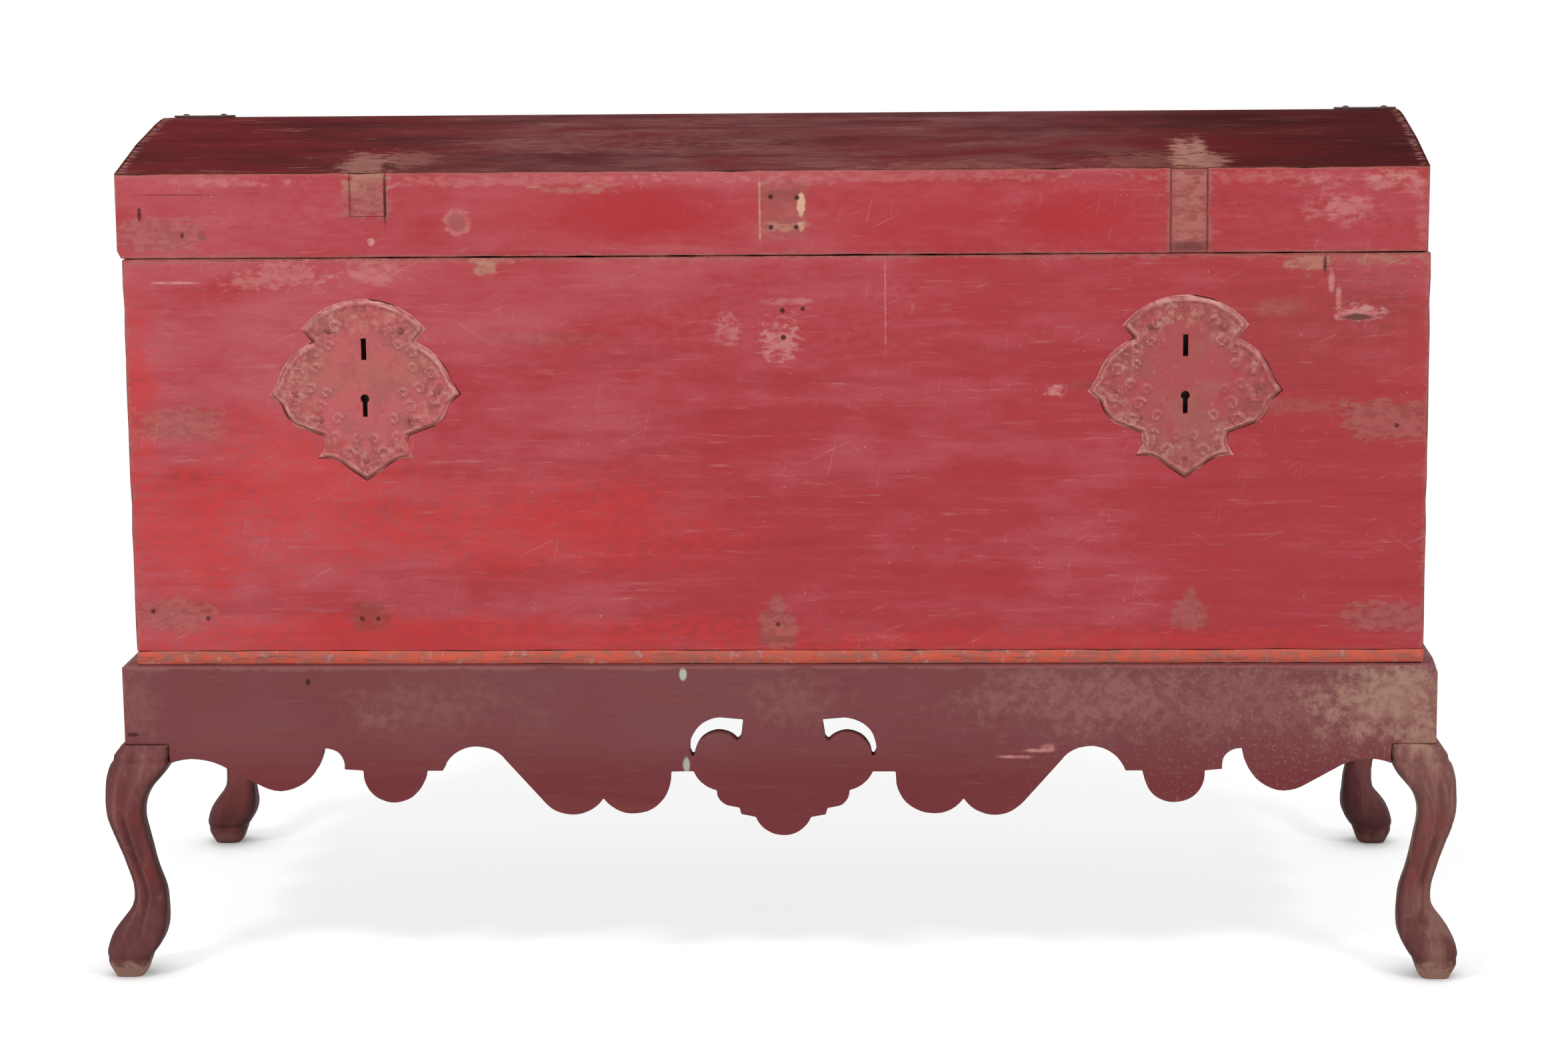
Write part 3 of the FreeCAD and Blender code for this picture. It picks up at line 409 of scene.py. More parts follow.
# %% Beginning and closing a finish


def begin(name):
    """A new material's empty tree, its place on the object and its direction of face."""
    tree = empty_tree(bpy.data.materials.new(name))
    where = tree.node("ShaderNodeTexCoord").outputs
    return tree, where["Object"], where["Normal"]


def finish(tree, colour, roughness, height, relief, depth, shine=0.3, metal=0.0):
    """Ends a tree in a shader. Returns its material."""
    shader = tree.node("ShaderNodeBsdfPrincipled")
    tree.feed(shader.inputs["Base Color"], colour)
    tree.feed(shader.inputs["Roughness"], roughness)
    shader.inputs["Specular IOR Level"].default_value = shine
    tree.feed(shader.inputs["Metallic"], metal)
    bump = tree.node("ShaderNodeBump")
    bump.inputs["Strength"].default_value = relief
    bump.inputs["Distance"].default_value = depth
    tree.feed(bump.inputs["Height"], height)
    tree.feed(shader.inputs["Normal"], bump.outputs["Normal"])
    tree.feed(tree.node("ShaderNodeOutputMaterial").inputs["Surface"], shader.outputs[0])
    return tree.owner


# %% Colours of the paint, the wear and what lies under it
DUSTY = rgb(180, 84, 91)
RED = rgb(166, 56, 62)
DEEP = rgb(150, 47, 52)
VIVID = rgb(200, 58, 55)
RUBBED = rgb(164, 104, 96)
PALE = rgb(206, 146, 140)
BARE = rgb(176, 132, 112)
BROWN = rgb(122, 62, 54)
DARK = rgb(62, 24, 22)
OLD_WOOD = rgb(150, 112, 78)
OLD_WOOD_DARK = rgb(104, 72, 48)
CLEAR_RED = rgb(168, 44, 50)
CREAM = rgb(216, 172, 142)
MARK_COLOURS = {
    "rubbed": RUBBED, "pale": PALE, "bare": BARE, "brown": BROWN, "dark": DARK, "vivid": VIVID,
    "dusty": DUSTY, "clear": CLEAR_RED, "cream": CREAM,
}
MARK_SHADES = {
    "rubbed": rgb(126, 76, 66), "pale": rgb(186, 100, 98), "bare": rgb(150, 88, 76),
    "brown": rgb(150, 78, 72), "vivid": rgb(180, 60, 62), "dusty": RED,
}
# paint was laid round the mounts in many coats, so a ghost has a rim, and a chip is a hollow
MARK_HEIGHTS = {"rubbed": 1.6, "bare": -2.0}
print("kinds of marks:", sorted(MARK_COLOURS))

# %% Bare wood, and marks over a colour


def bare_wood(tree, place, stretch):
    """The colour of a board that was never painted."""
    grain = tree.use(GRAIN, Place=place, Stretch=stretch)
    colour = tree.cover(OLD_WOOD, OLD_WOOD_DARK, grain["Streaks"], 0.38, 0.66)
    return tree.cover(colour, OLD_WOOD_DARK, grain["Fine"], 0.55, 0.75, 0.5)


def lay_marks(tree, place, colour, marks, face, depth, uneven, crumbs):
    """Marks over a colour. Each is where, how large, how round and ragged, how strong, and of what.

    Returns the colour and how far the marks stand proud or lie deep.
    """
    # no mark is one flat colour: crumbs of dirt and of the paint's edge lie in it
    shades = {
        kind: tree.mix(tree.ramp(crumbs, 0.44, 0.58, 0, 0.7), shade, MARK_SHADES.get(kind, shade))
        for kind, shade in MARK_COLOURS.items() if any(mark[-1] == kind for mark in marks)
    }
    proud = 0.0
    for *millimetres, roundness, soft, ragged, strength, kind in marks:
        across, up, half_across, half_up = (number / 1000 for number in millimetres)
        mask = tree.use(
            PATCH, Place=place, Centre=(across, face, up), Half=(half_across, depth, half_up),
            Round=roundness, Soft=soft, Ragged=ragged, Noise=uneven,
        )["Mask"]
        share = tree.times(mask, strength)
        colour = tree.mix(share, colour, shades[kind])
        if kind in MARK_HEIGHTS:
            proud = tree.scaled(share, MARK_HEIGHTS[kind], proud)
    return colour, proud


# %% [markdown]
# ## The red paint of the case
#
# The front has no single red. It is dusty pink at the left and under the lid, deeper to the right, and a
# raw orange red shows low on the left, where the top coat is thin. Iron mounts once sat at the
# corners, under the lid and along the bottom, and each left a rubbed ghost with its nail holes. A
# painted picture of all this would do, but would be fixed to one size and one face. Numbers
# for place and size give the same marks, and stay sharp at any distance.

# %% Marks on the case front
FACE = -0.32


def hole(across, up, radius=3, ragged=0.3, strength=0.8):
    """The mark of one empty nail hole."""
    return (across, up, radius, radius, 1.0, 0.3, ragged, strength, "dark")


# across, up, half width and half height in millimetres, round, soft, ragged, strength, colour
CASE_MARKS = [
    (-575, 615, 100, 85, 1, 0.8, 2.4, 0.6, "vivid"),
    (-280, 565, 170, 50, 1, 0.8, 2.4, 0.6, "vivid"),
    (-785, 720, 20, 100, 1, 0.8, 2.4, 0.6, "vivid"),
    (-730, 550, 70, 60, 1, 0.8, 2.4, 0.6, "vivid"),
    (-450, 425, 360, 24, 0.5, 0.7, 2.8, 0.6, "vivid"),
    (300, 420, 300, 16, 0.5, 0.6, 2.8, 0.5, "vivid"),
    (0, 830, 160, 60, 1, 0.8, 1.6, 0.35, "dusty"),
    (620, 800, 120, 70, 1, 0.8, 1.6, 0.22, "brown"),
    (-742, 697, 50, 19, 0.3, 0.2, 2, 0.45, "rubbed"),
    (-748, 455, 45, 20, 0.8, 0.2, 2.2, 0.5, "rubbed"),
    (750, 697, 52, 23, 0.3, 0.2, 2.6, 0.5, "rubbed"),
    (757, 452, 48, 16, 0.5, 0.2, 2.4, 0.5, "rubbed"),
    (-505, 455, 22, 18, 0.4, 0.2, 1.2, 0.5, "brown"),
    (3, 438, 23, 24, 0.4, 0.2, 1.2, 0.55, "rubbed"),
    (3, 468, 10, 14, 1, 0.3, 0.8, 0.45, "rubbed"),
    (3, 425, 24, 4, 0.4, 0.3, 1.2, 0.5, "brown"),
    (512, 455, 22, 18, 0.4, 0.2, 1.2, 0.5, "rubbed"),
    (512, 478, 8, 11, 1, 0.3, 0.8, 0.4, "rubbed"),
    (10, 797, 18, 24, 1, 0.4, 4, 0.5, "pale"),
    (-55, 810, 12, 16, 1, 0.5, 4, 0.35, "pale"),
    (25, 846, 30, 4, 0.6, 0.5, 1.6, 0.35, "pale"),
    (138, 848, 0.9, 48, 0, 0.6, 1.4, 0.4, "pale"),
    (-347, 899, 24, 5, 1, 0.3, 2.4, 0.55, "bare"),
    (-352, 889, 13, 9, 1, 0.3, 1.4, 0.65, "bare"),
    (-491, 886, 36, 16, 1, 0.5, 3, 0.35, "pale"),
    (-600, 882, 45, 13, 1, 0.6, 6, 0.35, "pale"),
    (-735, 873, 25, 1.6, 1, 0.5, 1.5, 0.7, "pale"),
    (653, 890, 28, 12, 1, 0.2, 2.6, 0.6, "bare"),
    (740, 894, 50, 7, 1, 0.4, 5, 0.5, "bare"),
    (730, 850, 50, 50, 1, 0.6, 2, 0.28, "brown"),
    (620, 835, 28, 10, 1, 0.5, 2, 0.4, "rubbed"),
    (345, 735, 13, 7, 1, 0.3, 3, 0.6, "pale"),
    (385, 741, 26, 6, 1, 0.4, 2.2, 0.45, "brown"),
    (600, 715, 90, 10, 1, 0.6, 2, 0.35, "rubbed"),
    (-300, 802, 70, 8, 1, 0.6, 2, 0.3, "rubbed"),
    (672, 888, 2.2, 12, 1, 0.4, 1, 0.8, "dark"),
    (680, 868, 3.5, 13, 1, 0.5, 1, 0.6, "pale"),
    (689, 847, 3.5, 12, 1, 0.5, 1, 0.6, "pale"),
    (712, 828, 28, 9, 1, 0.3, 2.4, 0.7, "pale"),
    (712, 823.5, 19, 3.8, 1, 0.3, 1.6, 0.8, "dark"),
    hole(12, 835, 3.2, strength=0.95),
    hole(37, 837, 2.8, strength=0.9),
    hole(13, 802, 3.2, strength=0.95),
    hole(-708, 453),
    hole(-777, 462),
    hole(-515, 452),
    hole(-495, 452),
    hole(3, 444),
    hole(762, 690),
]
print("marks on the case:", len(CASE_MARKS))

# %% Marks on the lid rail
RAIL_MARKS = [
    (-620, 955, 140, 45, 1, 0.8, 1.2, 0.35, "dusty"),
    (660, 950, 120, 40, 1, 0.8, 1.2, 0.30, "dusty"),
    (-230, 950, 150, 45, 1, 0.8, 1.2, 0.45, "clear"),
    (-140, 955, 130, 30, 1, 0.7, 1, 0.8, "clear"),
    (160, 950, 120, 40, 1, 0.7, 1.2, 0.7, "clear"),
    (380, 945, 80, 40, 1, 0.7, 1.2, 0.85, "clear"),
    (-300, 996, 170, 5, 0.6, 0.6, 5, 0.25, "pale"),
    (-250, 984, 35, 4, 1, 0.6, 5, 0.4, "bare"),
    (150, 998, 200, 5, 0.6, 0.6, 5, 0.25, "pale"),
    (620, 995, 120, 5, 0.6, 0.6, 5, 0.2, "pale"),
    (-496, 998, 25, 12, 0.3, 0.3, 2.2, 0.7, "bare"),
    (-496, 976, 24, 22, 0.2, 0.3, 2.2, 0.65, "rubbed"),
    (-473.5, 974, 1.3, 26, 0, 0.5, 0.6, 0.9, "dark"),
    (-385, 946, 16, 16, 1, 0.2, 1, 0.4, "pale"),
    (-385, 946, 11, 11, 1, 0.25, 1, 0.5, "brown"),
    (13.5, 960, 28, 38, 0.1, 0.15, 0.8, 0.42, "rubbed"),
    (-14.5, 960, 1.2, 36, 0, 0.6, 3, 0.45, "cream"),
    (13.5, 975, 26, 7, 0.5, 0.4, 2.4, 0.5, "brown"),
    (13.5, 938, 26, 6, 0.5, 0.4, 2.4, 0.6, "bare"),
    (36, 964, 5, 13, 1, 0.2, 1.6, 0.85, "cream"),
    (36, 937, 5, 6, 1, 0.2, 2, 0.5, "cream"),
    hole(-1, 974, ragged=0.2, strength=0.95),
    hole(31, 973, ragged=0.2, strength=0.95),
    hole(-1, 937, ragged=0.2, strength=0.95),
    hole(30, 937, ragged=0.2, strength=0.95),
    (507, 955, 26, 54, 0, 0.1, 0.7, 0.6, "rubbed"),
    (507, 955, 16, 45, 0.6, 0.3, 3.4, 0.2, "bare"),
    (484.5, 955, 1.4, 52, 0, 0.5, 0.5, 0.8, "brown"),
    (529.5, 955, 1.4, 52, 0, 0.5, 0.5, 0.8, "brown"),
    (507, 910, 21, 6, 0.2, 0.5, 1.2, 0.6, "dark"),
    (-747, 931, 50, 21, 0.5, 0.15, 1.6, 0.5, "rubbed"),
    (-730, 981, 50, 0.9, 1, 0.6, 1.6, 0.5, "dark"),
    (-776, 957, 2.4, 8, 1, 0.3, 1, 0.85, "dark"),
    (-724, 931, 2.5, 4, 1, 0.3, 1, 0.8, "dark"),
    (-699, 931, 6, 5, 1, 0.3, 2, 0.6, "brown"),
    (-690, 996, 60, 6, 1, 0.6, 2.6, 0.3, "pale"),
    (694, 957, 26, 12, 0.3, 0.9, 4.5, 0.4, "pale"),
    (670, 990, 25, 6, 0.6, 0.9, 4, 0.3, "pale"),
    (738, 988, 14, 8, 0.6, 0.9, 4, 0.45, "pale"),
    (778, 985, 12, 10, 1, 0.9, 3.5, 0.4, "pale"),
    (789, 940, 6, 25, 1, 0.9, 3.5, 0.25, "pale"),
    (-492, 922, 4, 4, 1, 0.4, 2, 0.8, "pale"),
]
print("marks on the rail:", len(RAIL_MARKS))

# %% Where the red paint goes
CASE_LOW, CASE_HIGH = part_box("bottom_board")[0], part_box("front_board")[1]
CASE_HIGH = Vector((CASE_HIGH.x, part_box("back_board")[1].y, CASE_HIGH.z))
RAIL_LOW, RAIL_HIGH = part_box("lid_front_rail")[0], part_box("lid_front_rail")[1]
RAIL_HIGH = Vector((RAIL_HIGH.x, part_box("lid_back_rail")[1].y, RAIL_HIGH.z))
CASE_BORDER, RAIL_BORDER = 0.006, 0.004
# paint covers all but the inmost part of a board's edge, and stops at the bottom board
PAINT_DEPTH = 0.0175
STRIP_TOP = 0.4105
# the lid's end boards stand higher than its rails, up to the underside of the dome
DOME_RISE = 0.06
print("red boards fill", CASE_LOW, "to", CASE_HIGH, "and", RAIL_LOW, "to", RAIL_HIGH)

# %% Coats of red
BOARD_GRAIN = (4.0, 4.0, 50.0)
FIRST_COAT = rgb(218, 96, 74)


def top_coat(tree, x, z, clouds, mottle, grain):
    """The reds of the top coat, pinker to the left and towards the top."""
    left = tree.ramp(x, 0.35, -0.85)
    top = tree.ramp(z, 0.74, 0.93)
    pinkness = tree.scaled(left, 0.45, tree.times(top, 0.25))
    pinkness = tree.plus(pinkness, tree.ramp(clouds, 0.36, 0.66, -0.3, 0.35))
    pinkness = tree.plus(pinkness, tree.ramp(mottle, 0.34, 0.68, -0.3, 0.4))
    pinkness.node.use_clamp = True
    colour = tree.mix(pinkness, RED, DUSTY)
    return tree.layers(
        colour,
        (CLEAR_RED, mottle, 0.46, 0.32, 0.4),
        (DEEP, grain["Streaks"], 0.5, 0.7, 0.45),
        (DUSTY, grain["Streaks"], 0.46, 0.3, 0.4),
        (BROWN, grain["Fine"], 0.56, 0.76, 0.4),
        (PALE, grain["Fine"], 0.42, 0.24, 0.35),
    )


def bottom_strip(tree, z, colour, grain, crumbs, uneven):
    """The bottom board's edge: a strip of the first, orange coat, scuffed by feet and brooms."""
    scuffed = tree.cover(FIRST_COAT, RUBBED, uneven, 0.42, 0.6)
    scuffed = tree.cover(scuffed, BROWN, grain["Fine"], 0.54, 0.7, 0.6)
    scuffed = tree.cover(scuffed, PALE, crumbs, 0.56, 0.66, 0.7)
    return tree.cover(colour, scuffed, z, STRIP_TOP + 0.002, STRIP_TOP)


# %% The red finishes
# how three families of scratches lean, and how clearly they show
SCRATCH_LEANS = ((0.45, 0.25), (-0.62, 0.18), (1.35, 0.18))


def red_paint(name, low, high, marks, border):
    """Red paint over boards that fill one box, bare inside it."""
    tree, place, facing = begin(name)
    grain = tree.use(GRAIN, Place=place, Stretch=BOARD_GRAIN)
    x, _, z = tree.apart(place)
    clouds = tree.noise(place, 2.3, 5, 0.6, (1, 1, 2.2))
    mottle = tree.noise(place, 9, 8, 0.66, (0.7, 0.7, 1.7))
    crumbs = tree.noise(place, 62, 6, 0.72)
    flecks = tree.noise(place, 130, 5, 0.7, (0.5, 0.5, 1))
    grit = tree.noise(place, 210, 3, 0.6)
    colour = top_coat(tree, x, z, clouds, mottle, grain)
    colour = tree.cover(colour, DEEP, crumbs, 0.58, 0.72, 0.22)
    uneven = tree.scaled(mottle, 0.3, tree.times(crumbs, 0.2))
    uneven = tree.scaled(flecks, 0.5, uneven)
    colour, proud = lay_marks(tree, place, colour, marks, FACE, 0.006, uneven, flecks)
    for lean, strength in SCRATCH_LEANS:
        lines = tree.use(SCRATCHES, Place=place, Lean=lean, Noise=mottle)["Mask"]
        colour = tree.lay(colour, PALE, lines, strength)
    # tiny chips down to the primer
    chips = tree.steps((grit, 0.69, 0.73), (mottle, 0.45, 0.6))
    colour = tree.lay(colour, PALE, chips, 0.75)
    edge = tree.use(BORDER, Place=place, Low=low, High=high, Width=border, Noise=uneven)["Mask"]
    colour = tree.lay(colour, RUBBED, edge, 0.45)
    thin = tree.use(BORDER, Place=place, Low=low, High=high, Width=border * 0.4, Noise=crumbs)["Mask"]
    colour = tree.lay(colour, BROWN, thin, 0.55)
    colour = bottom_strip(tree, z, colour, grain, crumbs, uneven)
    inner_low = Vector((low.x + PAINT_DEPTH, low.y + PAINT_DEPTH, STRIP_TOP))
    inner_high = high + Vector((-PAINT_DEPTH, -PAINT_DEPTH, DOME_RISE))
    inside = tree.use(WITHIN, Place=place, Low=inner_low, High=inner_high)["Mask"]
    under = tree.ramp(tree.apart(facing)[2], -0.8, -0.95)
    colour = tree.lay(colour, bare_wood(tree, place, BOARD_GRAIN), tree.most(inside, under))
    roughness = tree.ramp(grain["Fine"], 0.3, 0.7, 0.55, 0.75)
    height = tree.scaled(edge, -0.8, grain["Height"])
    height = tree.scaled(mottle, 0.6, height)
    height = tree.scaled(crumbs, 0.5, height)
    height = tree.plus(height, proud)
    return finish(tree, colour, roughness, height, 0.45, 0.0009, 0.2)


case_red = red_paint("case_red", CASE_LOW, CASE_HIGH, CASE_MARKS, CASE_BORDER)
rail_red = red_paint("rail_red", RAIL_LOW, RAIL_HIGH, RAIL_MARKS, RAIL_BORDER)
print("nodes in each red:", len(case_red.node_tree.nodes), len(rail_red.node_tree.nodes))

# %% [markdown]
# ## The dark dome
#
# The staves are a brown maroon, much darker than the sides, with long red and grey streaks. Where the
# hasps of two lost locks ran over the front, the paint is rubbed down to tan wood. The inner
# faces of the staves look down into the chest, so the direction of the face tells
# which side is bare.

# %% Colours and marks of the dome
DOME = rgb(88, 36, 38)
DOME_DARK = rgb(60, 22, 23)
DOME_RED = rgb(108, 36, 39)
DOME_GREY = rgb(122, 76, 76)
DOME_WORN = rgb(140, 90, 82)
TAN = rgb(168, 118, 106)
MARK_COLOURS["tan"] = TAN
MARK_SHADES["tan"] = rgb(150, 101, 92)
# across, up, half width and half height in millimetres, round, soft, ragged, strength, colour
DOME_MARKS = [
    (510, 1030, 20, 18, 0.4, 0.3, 1.8, 1, "tan"),
    (522, 1012, 30, 9, 1, 0.4, 1.6, 0.8, "tan"),
    (450, 1012, 50, 8, 1, 0.6, 3, 0.25, "tan"),
    (220, 1009, 90, 4, 1, 0.6, 4, 0.25, "tan"),
    (-200, 1035, 160, 8, 1, 0.8, 4, 0.22, "tan"),
    (-500, 1013, 30, 12, 0.8, 0.4, 2, 0.65, "tan"),
    (-470, 1013, 10, 3, 1, 0.4, 1, 0.9, "dark"),
    (-450, 1019, 30, 8, 1, 0.5, 1.8, 0.4, "tan"),
]
print("marks on the dome:", len(DOME_MARKS))

# %% Dome finish
DOME_GRAIN = (3.0, 34.0, 34.0)
LID_LOW, LID_HIGH = RAIL_LOW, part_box("dome_stave_top")[1]
# the front of the dome leans back, so its marks lie round this depth and reach this far before and behind it
DOME_FACE, DOME_REACH = -0.28, 0.08
tree, place, facing = begin("dome_maroon")
grain = tree.use(GRAIN, Place=place, Stretch=DOME_GRAIN)
x = tree.apart(place)[0]
clouds = tree.noise(place, 2.2, 6, 0.62, (1, 3, 3))
blotches = tree.noise(place, 13, 8, 0.68, (0.6, 1.6, 1.6))
crumbs = tree.noise(place, 62, 6, 0.72, (0.6, 1, 1))
colour = tree.mix(tree.ramp(clouds, 0.38, 0.62), DOME, DOME_RED)
colour = tree.cover(colour, DOME_DARK, clouds, 0.5, 0.34, 0.6)
# a wide dull band lies over the middle, where the lid was leant on
band = tree.steps((x, -0.62, -0.2), (x, 0.62, 0.2))
dull = tree.times(band, tree.ramp(blotches, 0.36, 0.62, 0.15, 0.75))
colour = tree.lay(colour, DOME_GREY, dull)
right = tree.ramp(x, 0.3, 0.8)
colour = tree.lay(colour, DOME_DARK, right, 0.7)
colour = tree.cover(colour, DOME_DARK, grain["Streaks"], 0.50, 0.68, 0.4)
colour = tree.cover(colour, DOME_DARK, grain["Fine"], 0.56, 0.74, 0.35)
worn = tree.steps((blotches, 0.52, 0.64), (grain["Fine"], 0.54, 0.38), (x, 0.1, 0.6, 0.8, 0.25))
colour = tree.lay(colour, DOME_WORN, worn)
colour = tree.cover(colour, DOME_GREY, grain["Fine"], 0.42, 0.28, 0.35)
flecks = tree.noise(place, 130, 5, 0.7, (0.4, 1, 1))
uneven = tree.scaled(crumbs, 0.25, tree.times(flecks, 0.75))
colour, _ = lay_marks(tree, place, colour, DOME_MARKS, DOME_FACE, DOME_REACH, uneven, flecks)
# the staves' ends are chipped, and black at the very edge
from_left = tree.math("SUBTRACT", x, LID_LOW.x)
from_right = tree.math("SUBTRACT", LID_HIGH.x, x)
from_end = tree.least(from_left, from_right)
edge = tree.steps((from_end, 0.016, 0.005), (flecks, 0.48, 0.58, 0, 0.75))
colour = tree.lay(colour, TAN, edge)
colour = tree.cover(colour, DARK, from_end, 0.005, 0.002, 0.75)
under = tree.ramp(tree.apart(facing)[2], -0.15, -0.3)
colour = tree.lay(colour, bare_wood(tree, place, DOME_GRAIN), under)
height = tree.scaled(blotches, 0.8, grain["Height"])
dome_maroon = finish(tree, colour, 0.8, height, 0.4, 0.0008, 0.01)
print("nodes in the dome's maroon:", len(dome_maroon.node_tree.nodes))

# %% [markdown]
# ## The maroon stand
#
# The stand's paint is browner than the case's, redder on the low lobes where nobody's feet came, and
# rubbed to a pinkish tan at the right.

# %% Colours and marks of the stand
STAND = rgb(120, 66, 69)
STAND_RED = rgb(113, 48, 52)
STAND_RUBBED = rgb(144, 96, 91)
STAND_TAN = rgb(164, 126, 110)
GREEN_CHIP = rgb(176, 186, 172)
LEG_DARK = rgb(74, 34, 33)
LEG_RED = rgb(142, 50, 48)
LEG_PAINTED_LIGHT = rgb(156, 80, 76)
MARK_COLOURS.update({"worn": STAND_RUBBED, "stand_tan": STAND_TAN, "green": GREEN_CHIP})
MARK_SHADES.update({"worn": rgb(122, 72, 68), "stand_tan": rgb(146, 102, 88)})
STAND_FACE = -0.336
STAND_MARKS = [
    (360, 352, 110, 34, 1, 0.7, 2.4, 0.7, "worn"),
    (580, 350, 160, 36, 1, 0.7, 2.8, 0.55, "worn"),
    (755, 350, 70, 44, 1, 0.6, 2, 0.95, "stand_tan"),
    (800, 300, 30, 25, 1, 0.5, 3.4, 0.7, "stand_tan"),
    (20, 350, 50, 25, 1, 0.7, 2.8, 0.4, "worn"),
    (-420, 345, 80, 28, 1, 0.7, 2.8, 0.35, "worn"),
    (-500, 325, 20, 10, 1, 0.6, 2.8, 0.35, "worn"),
    (-795, 350, 20, 45, 1, 0.7, 2.8, 0.4, "worn"),
    (-115, 384, 4.5, 8, 1, 0.3, 0.6, 0.95, "green"),
    (-112, 269, 4, 9, 1, 0.3, 0.6, 0.8, "green"),
    (-583, 375, 3, 4, 1, 0.3, 0.3, 0.95, "dark"),
    (-805, 308, 7, 2.5, 0.4, 0.3, 0.6, 0.9, "dark"),
    (295, 279, 18, 1.8, 0.6, 0.5, 1.2, 0.7, "pale"),
    (325, 287, 16, 2.2, 0.6, 0.5, 1.2, 0.7, "pale"),
    (335, 291, 8, 4, 1, 0.5, 1.6, 0.5, "pale"),
]
print("marks on the stand:", len(STAND_MARKS))

# %% What the stand's two maroons share
STAND_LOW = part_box("apron_left")[0]
STAND_LOW = Vector((STAND_LOW.x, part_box("apron_front")[0].y, 0.0))
STAND_HIGH = Vector((-STAND_LOW.x, -STAND_LOW.y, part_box("apron_front")[1].z))


def maroon(tree, clouds, grain, low):
    """The stand's maroon, redder where low is 1, with brown, dark and rubbed streaks."""
    colour = tree.mix(low, STAND, STAND_RED)
    return tree.layers(
        colour,
        (STAND_RED, clouds, 0.42, 0.62, 0.3),
        (BROWN, grain["Streaks"], 0.5, 0.72, 0.45),
        (DARK, grain["Fine"], 0.58, 0.8, 0.4),
        (STAND_RUBBED, grain["Fine"], 0.42, 0.26, 0.35),
    )


def close_maroon(tree, colour, grain, blotches):
    """Ends a maroon finish. Both have the same sheen and relief."""
    roughness = tree.ramp(grain["Fine"], 0.3, 0.7, 0.55, 0.75)
    height = tree.scaled(blotches, 0.8, grain["Height"])
    return finish(tree, colour, roughness, height, 0.4, 0.0008, 0.2)


# %% Maroon on the aprons
STAND_GRAIN = (3.5, 3.5, 44.0)
# the paint reaches this far in from outside, so the inner faces of the aprons are bare
APRON_PAINT = 0.022
STAND_BORDER = 0.004


def apron_paint(name):
    """Maroon paint over the stand's boards, bare inside them."""
    tree, place, _ = begin(name)
    grain = tree.use(GRAIN, Place=place, Stretch=STAND_GRAIN)
    x, _, z = tree.apart(place)
    blotches = tree.noise(place, 20, 8, 0.68)
    crumbs = tree.noise(place, 75, 6, 0.72)
    grit = tree.noise(place, 220, 3, 0.6)
    colour = maroon(tree, tree.noise(place, 3, 5, 0.6), grain, tree.ramp(z, 0.31, 0.24))
    uneven = tree.scaled(crumbs, 0.5, tree.times(blotches, 0.5))
    colour, _ = lay_marks(tree, place, colour, STAND_MARKS, STAND_FACE, 0.01, uneven, crumbs)
    speckle = tree.steps((grit, 0.56, 0.66), (x, 0.1, 0.7))
    colour = tree.lay(colour, STAND_TAN, speckle, 0.35)
    low, high = STAND_LOW, STAND_HIGH
    edge = tree.use(BORDER, Place=place, Low=low, High=high, Width=STAND_BORDER, Noise=blotches)["Mask"]
    colour = tree.lay(colour, STAND_RUBBED, edge, 0.55)
    inner_low = low + Vector((APRON_PAINT, APRON_PAINT, 0))
    inner_high = high - Vector((APRON_PAINT, APRON_PAINT, 0.001))
    inside = tree.use(WITHIN, Place=place, Low=inner_low, High=inner_high)["Mask"]
    colour = tree.lay(colour, bare_wood(tree, place, STAND_GRAIN), inside)
    return close_maroon(tree, colour, grain, blotches)


stand_maroon = apron_paint("stand_maroon")
print("nodes in the aprons' maroon:", len(stand_maroon.node_tree.nodes))

# %% Maroon on the legs
LEG_GRAIN = (38.0, 38.0, 5.0)


